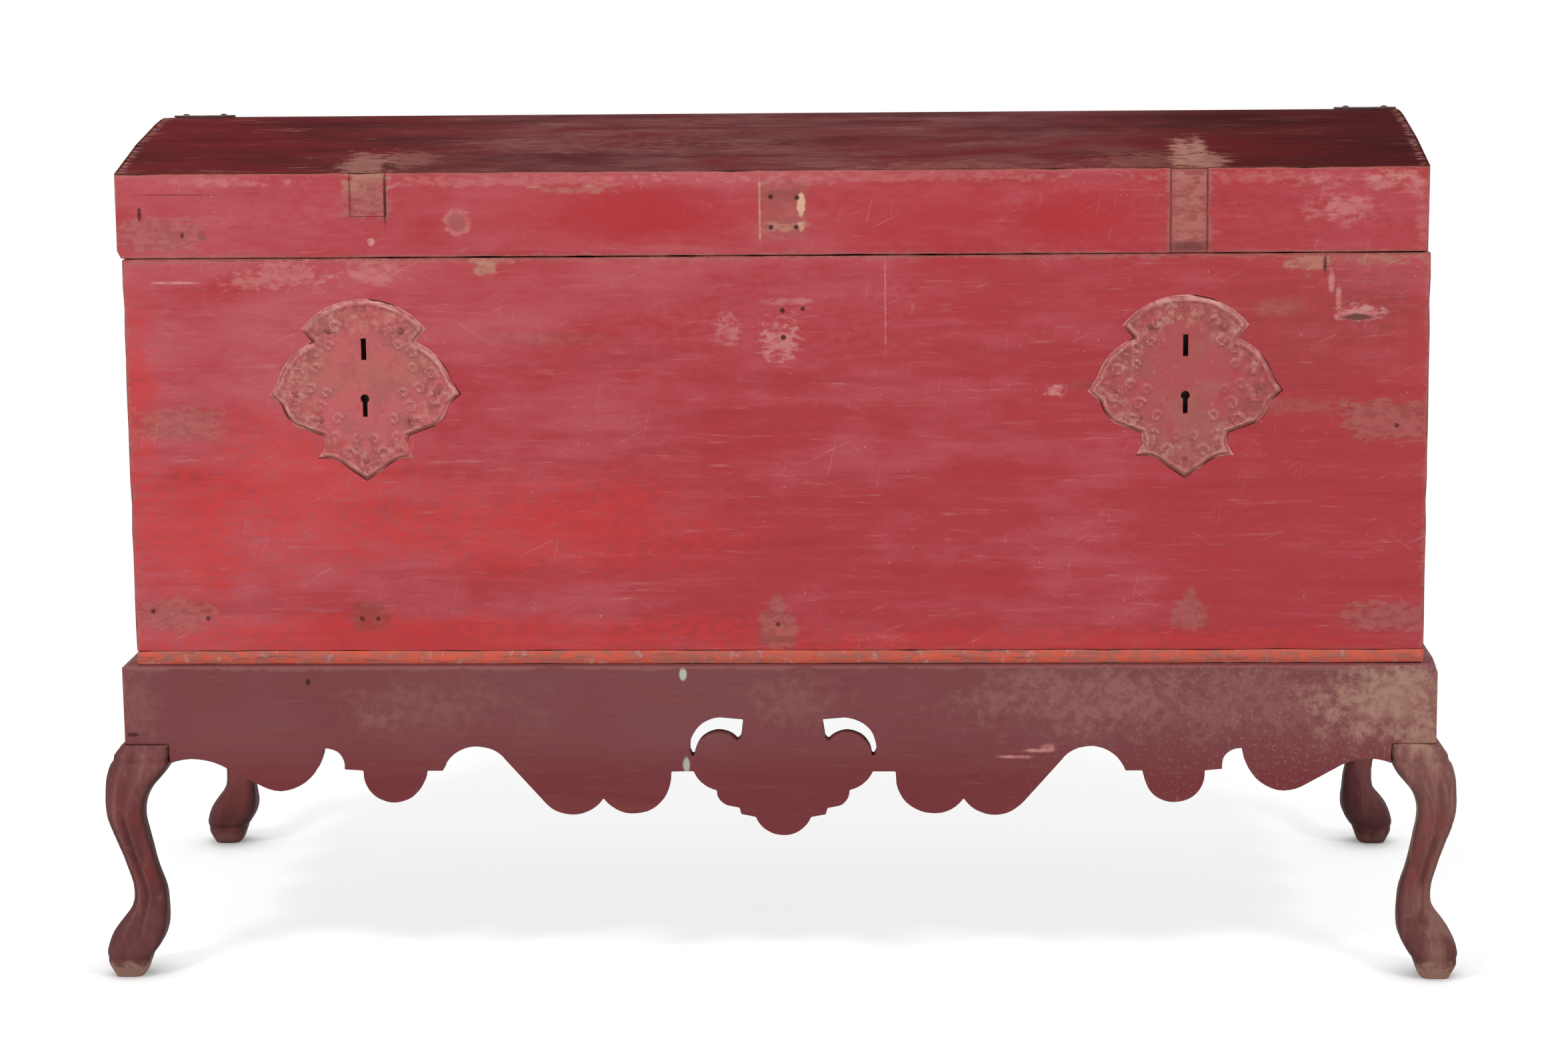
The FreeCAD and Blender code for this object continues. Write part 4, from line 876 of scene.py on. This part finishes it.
def leg_paint(name):
    """Maroon paint over the carved legs. Their grain stands up, and their pads are bare. Painted shade
    darkens their outlines, their inner sides and the back right leg, and painted light brightens the back
    left one.
    """
    tree, place, facing = begin(name)
    grain = tree.use(GRAIN, Place=place, Stretch=LEG_GRAIN)
    x, y, z = tree.apart(place)
    blotches = tree.noise(place, 20, 8, 0.68)
    crumbs = tree.noise(place, 75, 6, 0.72)
    strokes = tree.noise(place, 26, 4, 0.6, (1, 1, 0.12))
    colour = maroon(tree, tree.noise(place, 3, 5, 0.6), grain, 0.2)
    # the crests of the carving are rubbed pale, and its grooves are darker
    crest = tree.node("ShaderNodeNewGeometry").outputs["Pointiness"]
    colour = tree.cover(colour, DARK, crest, 0.497, 0.45, 0.65)
    rub = tree.steps(
        (crest, 0.508, 0.55), (blotches, 0.32, 0.62, 0.25, 1), (crumbs, 0.42, 0.56, 0.15, 0.8)
    )
    colour = tree.lay(colour, STAND_TAN, rub)
    # painted shade: of the legs, the back right one is the darkest and the back left one the lightest
    behind = tree.steps((y, -0.25, 0.25), (x, -0.5, 0.5, -0.25, 0.25))
    colour = tree.lay(colour, LEG_DARK, tree.plus(behind, 0.25))
    colour = tree.cover(colour, STAND_RUBBED, strokes, 0.50, 0.66, 0.45)
    colour = tree.cover(colour, DARK, strokes, 0.48, 0.34, 0.35)
    # the thin part of each leg was never handled and keeps more of its red
    ruddy = tree.steps((z, 0.25, 0.19), (z, 0.09, 0.13), (blotches, 0.58, 0.42, 0.2, 1))
    colour = tree.lay(colour, LEG_RED, ruddy, 0.3)
    colour = tree.cover(colour, DARK, crumbs, 0.54, 0.66, 0.3)
    colour = tree.cover(colour, STAND_RUBBED, crumbs, 0.44, 0.34, 0.35)
    # painted shade: the legs' inner sides are nearly black where they turn away from the view, and each leg
    # darkens towards its outline
    turned = tree.node("ShaderNodeLayerWeight").outputs["Facing"]
    outward = tree.times(tree.apart(facing)[0], tree.math("SIGN", x))
    inner = tree.steps((turned, 0.1, 0.55), (outward, 0.2, -0.4, 0.3, 0.95))
    colour = tree.lay(colour, DARK, inner)
    colour = tree.cover(colour, DARK, turned, 0.3, 0.8, 0.5)
    # painted light: the back left leg is paler where it faces the view
    painted_light_far_left = tree.steps((y, 0, 0.25), (x, 0.2, -0.4), (turned, 0.5, 0.1, 0, 0.45))
    colour = tree.lay(colour, LEG_PAINTED_LIGHT, painted_light_far_left)
    colour = tree.cover(colour, LEG_DARK, z, 0.12, 0.05, 0.45)
    # the front right knee is as dry and tan as the boards above it
    dry = tree.steps(
        (x, 0.5, 0.8, 0.1, 0.9), (y, 0.2, -0.2), (z, 0.10, 0.26, 0.4, 1), (strokes, 0.42, 0.58, 0.2, 1)
    )
    colour = tree.lay(colour, STAND_TAN, dry)
    foot = tree.ramp(tree.scaled(crumbs, 0.05, z), 0.048, 0.036, 0, 0.7)
    colour = tree.lay(colour, STAND_TAN, foot, tree.ramp(y, 0.2, -0.2, 0.3, 1))
    return close_maroon(tree, colour, grain, blotches)


leg_maroon = leg_paint("leg_maroon")
print("nodes in the legs' maroon:", len(leg_maroon.node_tree.nodes))

# %% [markdown]
# ## Wood and iron that the paint doesn't reach
#
# Ribs and bearers are bare softwood. The lock plates were painted with the case, so they share its
# reds, rubbed pale on what stands proud, with a painted highlight on faces that lean up and painted
# shade on faces that lean down. The hinges wear the dome's paint over dark iron, and the lock works
# inside are bare iron with a little rust.

# %% Raw wood
BEARER_GRAIN = (26.0, 2.0, 26.0)
tree, place, _ = begin("raw_wood")
height = tree.use(GRAIN, Place=place, Stretch=BEARER_GRAIN)["Height"]
raw_wood = finish(tree, bare_wood(tree, place, BEARER_GRAIN), 0.78, height, 0.4, 0.0008)
print("nodes in raw wood:", len(raw_wood.node_tree.nodes))

# %% Painted plates
# the middle of each plate, counted from the middle of the chest and from the floor
PLATE_X, PLATE_Z = 0.504, 0.739


def plate_paint(name):
    """Red paint over chased iron, rubbed where it stands proud, with a painted highlight on faces that lean
    up and painted shade on faces that lean down.
    """
    tree, place, facing = begin(name)
    blotches = tree.noise(place, 26, 6, 0.68)
    grit = tree.noise(place, 150, 4, 0.6)
    x, _, z = tree.apart(place)
    clouds = tree.noise(place, 11, 3, 0.5)
    left = tree.ramp(x, 0.3, -0.3)
    colour = tree.mix(left, rgb(164, 72, 74), rgb(182, 88, 90))
    colour = tree.layers(
        colour,
        (rgb(158, 98, 86), clouds, 0.50, 0.60, 0.45),
        (rgb(152, 84, 78), blotches, 0.50, 0.64, 0.6),
        (CLEAR_RED, blotches, 0.45, 0.34, 0.5),
        (PALE, grit, 0.60, 0.74, 0.3),
        (BROWN, grit, 0.42, 0.3, 0.4),
    )
    # the chased border holds dirt and has lost the paint of its crests
    aside = tree.math("SUBTRACT", tree.math("ABSOLUTE", x), PLATE_X)
    aloft = tree.math("SUBTRACT", z, PLATE_Z)
    squares = tree.scaled(aside, aside, tree.times(aloft, aloft))
    reach = tree.math("SQRT", squares)
    # the edges of the openings get neither the rubbed crests nor the painted highlight of the rim
    beside = tree.ramp(tree.math("ABSOLUTE", aside), 0.009, 0.013)
    away = tree.most(beside, tree.ramp(reach, 0.08, 0.09))
    ring = tree.ramp(tree.scaled(blotches, 0.06, reach), 0.085, 0.115)
    scales = tree.noise(place, 95, 5, 0.7)
    colour = tree.lay(colour, BROWN, ring, tree.ramp(scales, 0.5, 0.4), 0.55)
    colour = tree.lay(colour, BARE, ring, tree.ramp(scales, 0.52, 0.62), 0.6)
    crest = tree.node("ShaderNodeNewGeometry").outputs["Pointiness"]
    wear = tree.steps((crest, 0.507, 0.55), (blotches, 0.42, 0.58, 0.2, 0.9))
    colour = tree.lay(colour, PALE, wear, away)
    colour = tree.cover(colour, BROWN, crest, 0.495, 0.45, 0.6)
    # painted highlight on what leans up, and painted shade on what leans down
    lean = tree.apart(facing)[2]
    rubbed = tree.steps((lean, 0.15, 0.6), (scales, 0.42, 0.56, 0.2, 0.85))
    colour = tree.lay(colour, PALE, rubbed, away)
    colour = tree.cover(colour, BROWN, lean, -0.12, -0.5, 0.8)
    roughness = tree.ramp(blotches, 0.3, 0.7, 0.45, 0.65)
    height = tree.scaled(grit, 0.4, blotches)
    return finish(tree, colour, roughness, height, 0.6, 0.0012, 0.35)


plate_red = plate_paint("plate_red")
print("nodes in the plates' red:", len(plate_red.node_tree.nodes))

# %% Iron


def iron(name, main, patchy, share, metal):
    """Iron in one main colour, a second colour in patches, and dirt."""
    tree, place, _ = begin(name)
    blotches = tree.noise(place, 60, 6, 0.65)
    grit = tree.noise(place, 320, 3, 0.6)
    colour = tree.mix(tree.ramp(blotches, 0.42, 0.62, 0, share), main, patchy)
    colour = tree.cover(colour, DARK, grit, 0.55, 0.75, 0.4)
    roughness = tree.ramp(blotches, 0.3, 0.7, 0.42, 0.7)
    height = tree.scaled(grit, 0.5, blotches)
    return finish(tree, colour, roughness, height, 0.5, 0.0008, 0.4, metal)


nail_red = iron("nail_red", rgb(150, 68, 68), rgb(112, 58, 52), 0.8, 0.0)
dome_iron = iron("dome_iron", rgb(84, 42, 42), rgb(58, 46, 44), 0.9, 0.0)
bare_iron = iron("bare_iron", rgb(92, 84, 80), rgb(104, 66, 48), 0.7, 0.6)
print("nodes in each iron:", len(bare_iron.node_tree.nodes))

# %% [markdown]
# ## Worn boards
#
# A board that has been knocked about for two hundred years has no knife edge left. The CAD boards are
# exact, so each is copied, its loose triangles are merged into whole faces, and cuts at every few
# centimetres give its long edges points to move. A bevel rounds the edges, and a smooth
# noise moves the rounded points inwards, never outwards, so that no board grows.

# %% Helpers for whole copies
SAME_POINT = 0.00001
FLAT = math.radians(0.4)


def alone(piece):
    """Selects one piece and nothing else."""
    bpy.ops.object.select_all(action="DESELECT")
    piece.select_set(True)
    bpy.context.view_layer.objects.active = piece


def whole_copy(name, suffix="worn", flat=FLAT):
    """A copy of a CAD node in one skin, its triangles merged into faces that are flat to this angle."""
    piece = bpy.data.objects.new(f"{name}_{suffix}", nodes[name].data.copy())
    scene.collection.objects.link(piece)
    alone(piece)
    bpy.ops.object.mode_set(mode="EDIT")
    bpy.ops.mesh.select_all(action="SELECT")
    bpy.ops.mesh.remove_doubles(threshold=SAME_POINT)
    if flat:
        bpy.ops.mesh.dissolve_limited(angle_limit=flat)
    bpy.ops.object.mode_set(mode="OBJECT")
    return piece


def cut_across(piece, axis, step):
    """Cuts a piece by planes across one axis, a step apart."""
    places = [corner[axis] for corner in piece.bound_box]
    low, high = min(places), max(places)
    count = max(1, round((high - low) / step))
    direction = Vector((0, 0, 0))
    direction[axis] = 1
    bpy.ops.object.mode_set(mode="EDIT")
    for number in range(1, count):
        bpy.ops.mesh.select_all(action="SELECT")
        middle = direction * (low + (high - low) * number / count)
        bpy.ops.mesh.bisect(plane_co=middle, plane_no=direction)
    bpy.ops.object.mode_set(mode="OBJECT")


# %% Helpers for worn edges
SHARP = math.radians(35)
# a point whose faces' mean normal is shorter than this lies on an edge
EDGE_NORMAL = 0.985


def rounded(piece, width, segments=2):
    """Rounds the sharp edges."""
    bevel = piece.modifiers.new("rounded", "BEVEL")
    bevel.width = width
    bevel.segments = segments
    bevel.limit_method = "ANGLE"
    bevel.angle_limit = SHARP
    bevel.use_clamp_overlap = False
    alone(piece)
    bpy.ops.object.modifier_apply(modifier=bevel.name)


def chipped(piece, corner, reach):
    """Breaks a corner off. It is cut at these signed distances along the three axes."""
    slope = Vector((1 / reach.x, 1 / reach.y, 1 / reach.z))
    alone(piece)
    bpy.ops.object.mode_set(mode="EDIT")
    bpy.ops.mesh.select_all(action="SELECT")
    start = corner + Vector((reach.x, 0, 0))
    bpy.ops.mesh.bisect(plane_co=start, plane_no=slope.normalized(), clear_inner=True, use_fill=True)
    bpy.ops.object.mode_set(mode="OBJECT")


def knocked(piece, depth, spread, seed):
    """Moves the points of rounded edges inwards by a smooth noise."""
    mesh = piece.data
    sums = [Vector((0, 0, 0)) for _ in mesh.vertices]
    counts = [0] * len(mesh.vertices)
    for face in mesh.polygons:
        for index in face.vertices:
            sums[index] += face.normal
            counts[index] += 1
    shift = Vector((seed * 3.7, seed * 1.3, seed * 7.1))
    for vertex, total, count in zip(mesh.vertices, sums, counts):
        if count and total.length / count < EDGE_NORMAL:
            amount = noise.noise(vertex.co / spread + shift)
            amount += 0.5 * noise.noise(vertex.co / spread * 3 + shift)
            vertex.co -= total.normalized() * depth * max(0.0, amount + 0.15)


def take_over(piece, name, slot, *finishes):
    """The piece stands for a CAD node: same body and its finish. The slot is not used."""
    piece.data.materials.clear()
    for material in finishes:
        piece.data.materials.append(material)
    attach(piece, nodes[name]["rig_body"])
    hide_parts(name)


# %% Case, rail, dome and stand boards
SLOTS = {"case": "red_paint", "rail": "red_paint", "dome": "dome_paint", "stand": "stand_paint"}
# for each group: finish, width of the rounding, depth of the knocks, and its boards
BOARDS = {
    "case": (case_red, 0.0014, 0.0016,
             ["front_board", "back_board", "end_board_left", "end_board_right", "bottom_board"]),
    "rail": (rail_red, 0.0014, 0.0016,
             ["lid_front_rail", "lid_back_rail", "lid_end_left", "lid_end_right"]),
    "dome": (dome_maroon, 0.0006, 0.0008,
             ["dome_stave_front", "dome_stave_upper_front", "dome_stave_top", "dome_stave_upper_back",
              "dome_stave_back"]),
    "stand": (stand_maroon, 0.0012, 0.0012,
              ["apron_front", "apron_back", "apron_left", "apron_right"]),
}
STEP = 0.03
LONG_SIDE = 0.15
KNOCK_SPREAD = 0.035
LID_CORNER = RAIL_LOW
STAND_CORNER = Vector((STAND_HIGH.x, STAND_LOW.y, STAND_HIGH.z))
BROKEN = {
    "lid_front_rail": (LID_CORNER, Vector((0.005, 0.04, 0.010))),
    "lid_end_left": (LID_CORNER, Vector((0.005, 0.04, 0.010))),
    "apron_front": (STAND_CORNER, Vector((-0.009, 0.05, -0.008))),
    "apron_right": (STAND_CORNER, Vector((-0.009, 0.05, -0.008))),
}
for group, (material, width, depth, names) in BOARDS.items():
    for number, name in enumerate(names):
        board = whole_copy(name)
        if name in BROKEN:
            chipped(board, *BROKEN[name])
        low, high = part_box(name)
        size = high - low
        for axis in range(3):
            if group != "stand" and size[axis] > LONG_SIDE:
                cut_across(board, axis, STEP)
        rounded(board, width)
        knocked(board, depth, KNOCK_SPREAD, number + len(group))
        take_over(board, name, SLOTS[group], material)
        print(name, "faces:", len(board.data.polygons))

# %% [markdown]
# ## The lock plates
#
# The plates are sheet iron cut to a lobed outline and chased, then painted over with the case. A
# chaser's line is a low ridge with a soft foot. So the plate's face is cut into a fine net, and each
# point of it rises by how near it is to a line: the band that follows the outline, and the small
# scrolls inside it. Both plates are the same, so the second is a copy of the first.

# %% Helpers for carving a net


def points_of(piece, kind="co"):
    """The points of a mesh, or their normals, as rows of three numbers."""
    values = np.zeros(len(piece.data.vertices) * 3)
    piece.data.vertices.foreach_get(kind, values)
    return values.reshape(-1, 3)


def put_points(piece, points):
    piece.data.vertices.foreach_set("co", points.ravel())
    piece.data.update()


def hump(value, middle, width):
    """A smooth hump, 1 at the middle."""
    return np.exp(-(((value - middle) / width) ** 2))


def rise(value, start, end):
    """A smooth step from 0 to 1."""
    share = np.clip((value - start) / (end - start), 0, 1)
    return share * share * (3 - 2 * share)


# %% The net of one lock plate
PLATE_NET = 0.0022
# the openings lie in a narrow strip up the middle
OPENINGS = (0.012, 0.085)
plate = whole_copy("lock_plate_left")
cut_across(plate, 0, PLATE_NET)
cut_across(plate, 2, PLATE_NET)
low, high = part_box("lock_plate_left")
middle = (low + high) / 2
points = points_of(plate)
on_face = points[:, 1] < low.y + 0.0001
# points on the outline and round the openings belong to a face of the rim
rim = np.zeros(len(points), bool)
for face in plate.data.polygons:
    if abs(face.normal.y) < 0.5:
        rim[list(face.vertices)] = True
across, up = points[:, 0], points[:, 2]
# the chasing follows the outline, not the edges of the openings
opening = (np.abs(across - middle.x) < OPENINGS[0]) & (np.abs(up - middle.z) < OPENINGS[1])
outline = points[rim & on_face & ~opening]
to_rim = np.full(len(points), 1.0)
for place in outline:
    to_rim = np.minimum(to_rim, np.hypot(across - place[0], up - place[2]))
print("plate net:", len(points), "points,", len(outline), "of them on the outline")

# %% Lines along the outline
BAND_FROM_EDGE = 0.006
FLUTES_FROM_EDGE = 0.0125
FLUTE_HALF = 0.003
FLUTES = 56
LINE_WIDTH = 0.0016
lines = hump(to_rim, BAND_FROM_EDGE, LINE_WIDTH)
# a row of short flutes inside the rim line, as far apart as the chaser's punch was wide
from_middle = np.arctan2(up - middle.z, across - middle.x)
flutes = np.abs(np.sin(from_middle * FLUTES / 2)) ** 4 * hump(to_rim, FLUTES_FROM_EDGE, FLUTE_HALF)
lines = np.maximum(lines, 0.55 * flutes)
print("points on a line:", int((lines > 0.5).sum()))

# %% Scrolls
# turn, distance from the middle and size of each scroll on one side
SCROLLS = [
    (66, 0.086, 0.008), (52, 0.070, 0.006), (38, 0.076, 0.007), (24, 0.066, 0.006), (14, 0.086, 0.008),
    (2, 0.068, 0.007), (-8, 0.086, 0.009), (-20, 0.060, 0.008), (-32, 0.078, 0.009), (-46, 0.050, 0.007),
    (-56, 0.072, 0.008), (-74, 0.082, 0.008), (-80, 0.062, 0.006), (-4, 0.048, 0.006),
]
for turn, reach, size in SCROLLS:
    for way in (-1, 1):
        angle = math.radians(turn)
        centre = (middle.x + way * reach * math.cos(angle), middle.z + reach * math.sin(angle))
        spread = np.hypot(across - centre[0], up - centre[1])
        around = np.arctan2(up - centre[1], way * (across - centre[0]))
        # the ring closes in as it turns, and is left open towards the middle of the plate
        ring = size * (0.72 + 0.28 * around / math.pi)
        lines = np.maximum(lines, hump(spread, ring, LINE_WIDTH) * (spread < size * 1.6))
        lines = np.maximum(lines, 0.8 * hump(spread, 0, LINE_WIDTH * 1.3))
print("points on a line, with the scrolls:", int((lines > 0.5).sum()))

# %% Two chased lock plates
LINE_HEIGHT = 0.0020
DENT = 0.0004
EDGE_FALL = 0.0012
EDGE_WIDTH = 0.0038
dents = np.array([noise.noise(Vector(point) * 45) for point in points])
inner = rise(to_rim, 0.0, 0.002) * on_face
points[:, 1] -= (LINE_HEIGHT * lines + DENT * dents) * inner
# the rim is filed back, more in some places than in others
points[:, 1] += EDGE_FALL * (1 - rise(to_rim, 0.0, EDGE_WIDTH)) * (1 + 1.6 * dents) * on_face
put_points(plate, points)
alone(plate)
bpy.ops.object.shade_smooth_by_angle(angle=SHARP)
copy = bpy.data.objects.new("lock_plate_right_worn", plate.data.copy())
scene.collection.objects.link(copy)
copy.data.transform(Matrix.Translation(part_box("lock_plate_right")[0] - low))
take_over(plate, "lock_plate_left", "painted_iron", plate_red)
take_over(copy, "lock_plate_right", "painted_iron", plate_red)
print("lock plate faces:", len(plate.data.polygons))

# %% [markdown]
# ## The carved legs
#
# A leg is a smooth bent bar in CAD. The carver left long grooves that run down both sides of the knee,
# close in on the shin and open again on the foot, a ledge under the frame, and a small pad.
# The copy is remeshed to an even net, fine enough to carve, and each point then moves in or out by
# where it is on the leg: how high, and how far round from the outer corner. One leg
# is carved, and the other three are copies of it, turned by quarters.

# %% The net of one leg
NET = 0.0022
leg = whole_copy("leg_back_right", "carved", flat=None)
leg.data.remesh_voxel_size = NET
leg.data.use_remesh_fix_poles = False
bpy.ops.object.voxel_remesh()
points, normals = points_of(leg), points_of(leg, "normal")
print("leg net:", len(points), "points")

# %% Where each point lies on the leg
KNEE_TOP = 0.295
CORNER = Vector((0.816, 0.336, 0))
OUTWARD = Vector((1, 1, 0)).normalized()
ACROSS = Vector((-1, 1, 0)).normalized()
height = points[:, 2]
out = (points - np.array(CORNER)) @ np.array(OUTWARD)
side = (points - np.array(CORNER)) @ np.array(ACROSS)
# the middle of the bar at each height, from the net itself
levels = np.linspace(0, KNEE_TOP, 60)
middles = []
for level in levels:
    near = out[np.abs(height - level) < 0.006]
    middles.append((near.min() + near.max()) / 2)
middle = np.interp(height, levels, middles)
angle = np.arctan2(side, out - middle)
share = height / KNEE_TOP
print("the bar's middle wanders from", round(min(middles), 3), "to", round(max(middles), 3))

# %% Carving the leg
# how deep the carver cut each of these, and how far the lips and the crest stand up
GROOVE, FLANK, LEDGE, PAD = 0.0026, 0.0010, 0.0016, 0.0014
LIP, CREST = 0.0012, 0.0008
ROUGHNESS = 0.00035
below = rise(share, 0.985, 0.95)
groove_at = 0.62 - 0.14 * hump(share, 0.45, 0.2) + 0.1 * hump(share, 0.15, 0.1)
groove = hump(np.abs(angle), groove_at, 0.19) * rise(share, 0.09, 0.16) * below
lips = hump(np.abs(angle), groove_at - 0.34, 0.11) + hump(np.abs(angle), groove_at + 0.36, 0.12)
lips = lips * rise(share, 0.12, 0.2) * below
crest = hump(angle, 0, 0.3) * rise(share, 0.1, 0.2) * below
flank = hump(np.abs(angle), 1.45, 0.35) * rise(share, 0.08, 0.16) * rise(share, 0.9, 0.8)
ledge = hump(share, 0.935, 0.012) * rise(np.abs(angle), 2.2, 1.7)
pad = hump(share, 0.085, 0.014)
rough = np.array([noise.noise(Vector(point) * 60) for point in points])
move = -GROOVE * groove + LIP * lips + CREST * crest - FLANK * flank - LEDGE * ledge - PAD * pad
move = move + ROUGHNESS * rough * rise(share, 1.0, 0.95)
points = points + normals * move[:, None]
put_points(leg, points)
alone(leg)
bpy.ops.object.shade_smooth()
print("the carver moved no point more than", round(float(np.abs(move).max()), 4))

# %% Four legs from one
TURNS = {"leg_back_right": 0, "leg_back_left": 1, "leg_front_left": 2, "leg_front_right": 3}
for name, quarter in TURNS.items():
    piece = leg
    if quarter:
        piece = bpy.data.objects.new(f"{name}_carved", leg.data.copy())
        scene.collection.objects.link(piece)
        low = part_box(name)[0]
        sign = Vector((math.copysign(1, low.x), math.copysign(1, low.y), 0))
        corner = Vector((CORNER.x * sign.x, CORNER.y * sign.y, 0))
        turn = Matrix.Translation(corner) @ Matrix.Rotation(quarter * math.pi / 2, 4, "Z")
        piece.data.transform(turn @ Matrix.Translation(-CORNER))
    take_over(piece, name, "stand_paint", leg_maroon)
    print(piece.name, "stands for", name)

# %% [markdown]
# ## Pieces kept as they came from CAD
#
# Nails, hinges and the works of the locks already have the right shape. They keep their meshes and
# only get their finishes.

# %% Finishes on the kept nodes
KEPT = {
    nail_red: ["lock_plate_nails"],
    dome_iron: ["hinge_strap_left", "hinge_strap_right", "hinge_strap_nails", "hinge_leaf_left",
                "hinge_leaf_right", "hinge_leaf_nails", "hinge_pin_left", "hinge_pin_right", "dome_nails"],
    bare_iron: ["lock_case_left", "lock_case_right", "lock_case_nails", "lock_bolt_left", "lock_bolt_right",
                "key_pin_left", "key_pin_right", "bolt_spring_left", "bolt_spring_right", "bottom_nails"],
    raw_wood: ["lid_rib_left", "lid_rib_right", "cross_bearer_left", "cross_bearer_right"],
}
for material, names in KEPT.items():
    for name in names:
        node = nodes[name]
        if not node.material_slots:
            node.data.materials.append(material)
        for slot in node.material_slots:
            slot.material = material
    print(material.name, "on", len(names), "kept nodes")
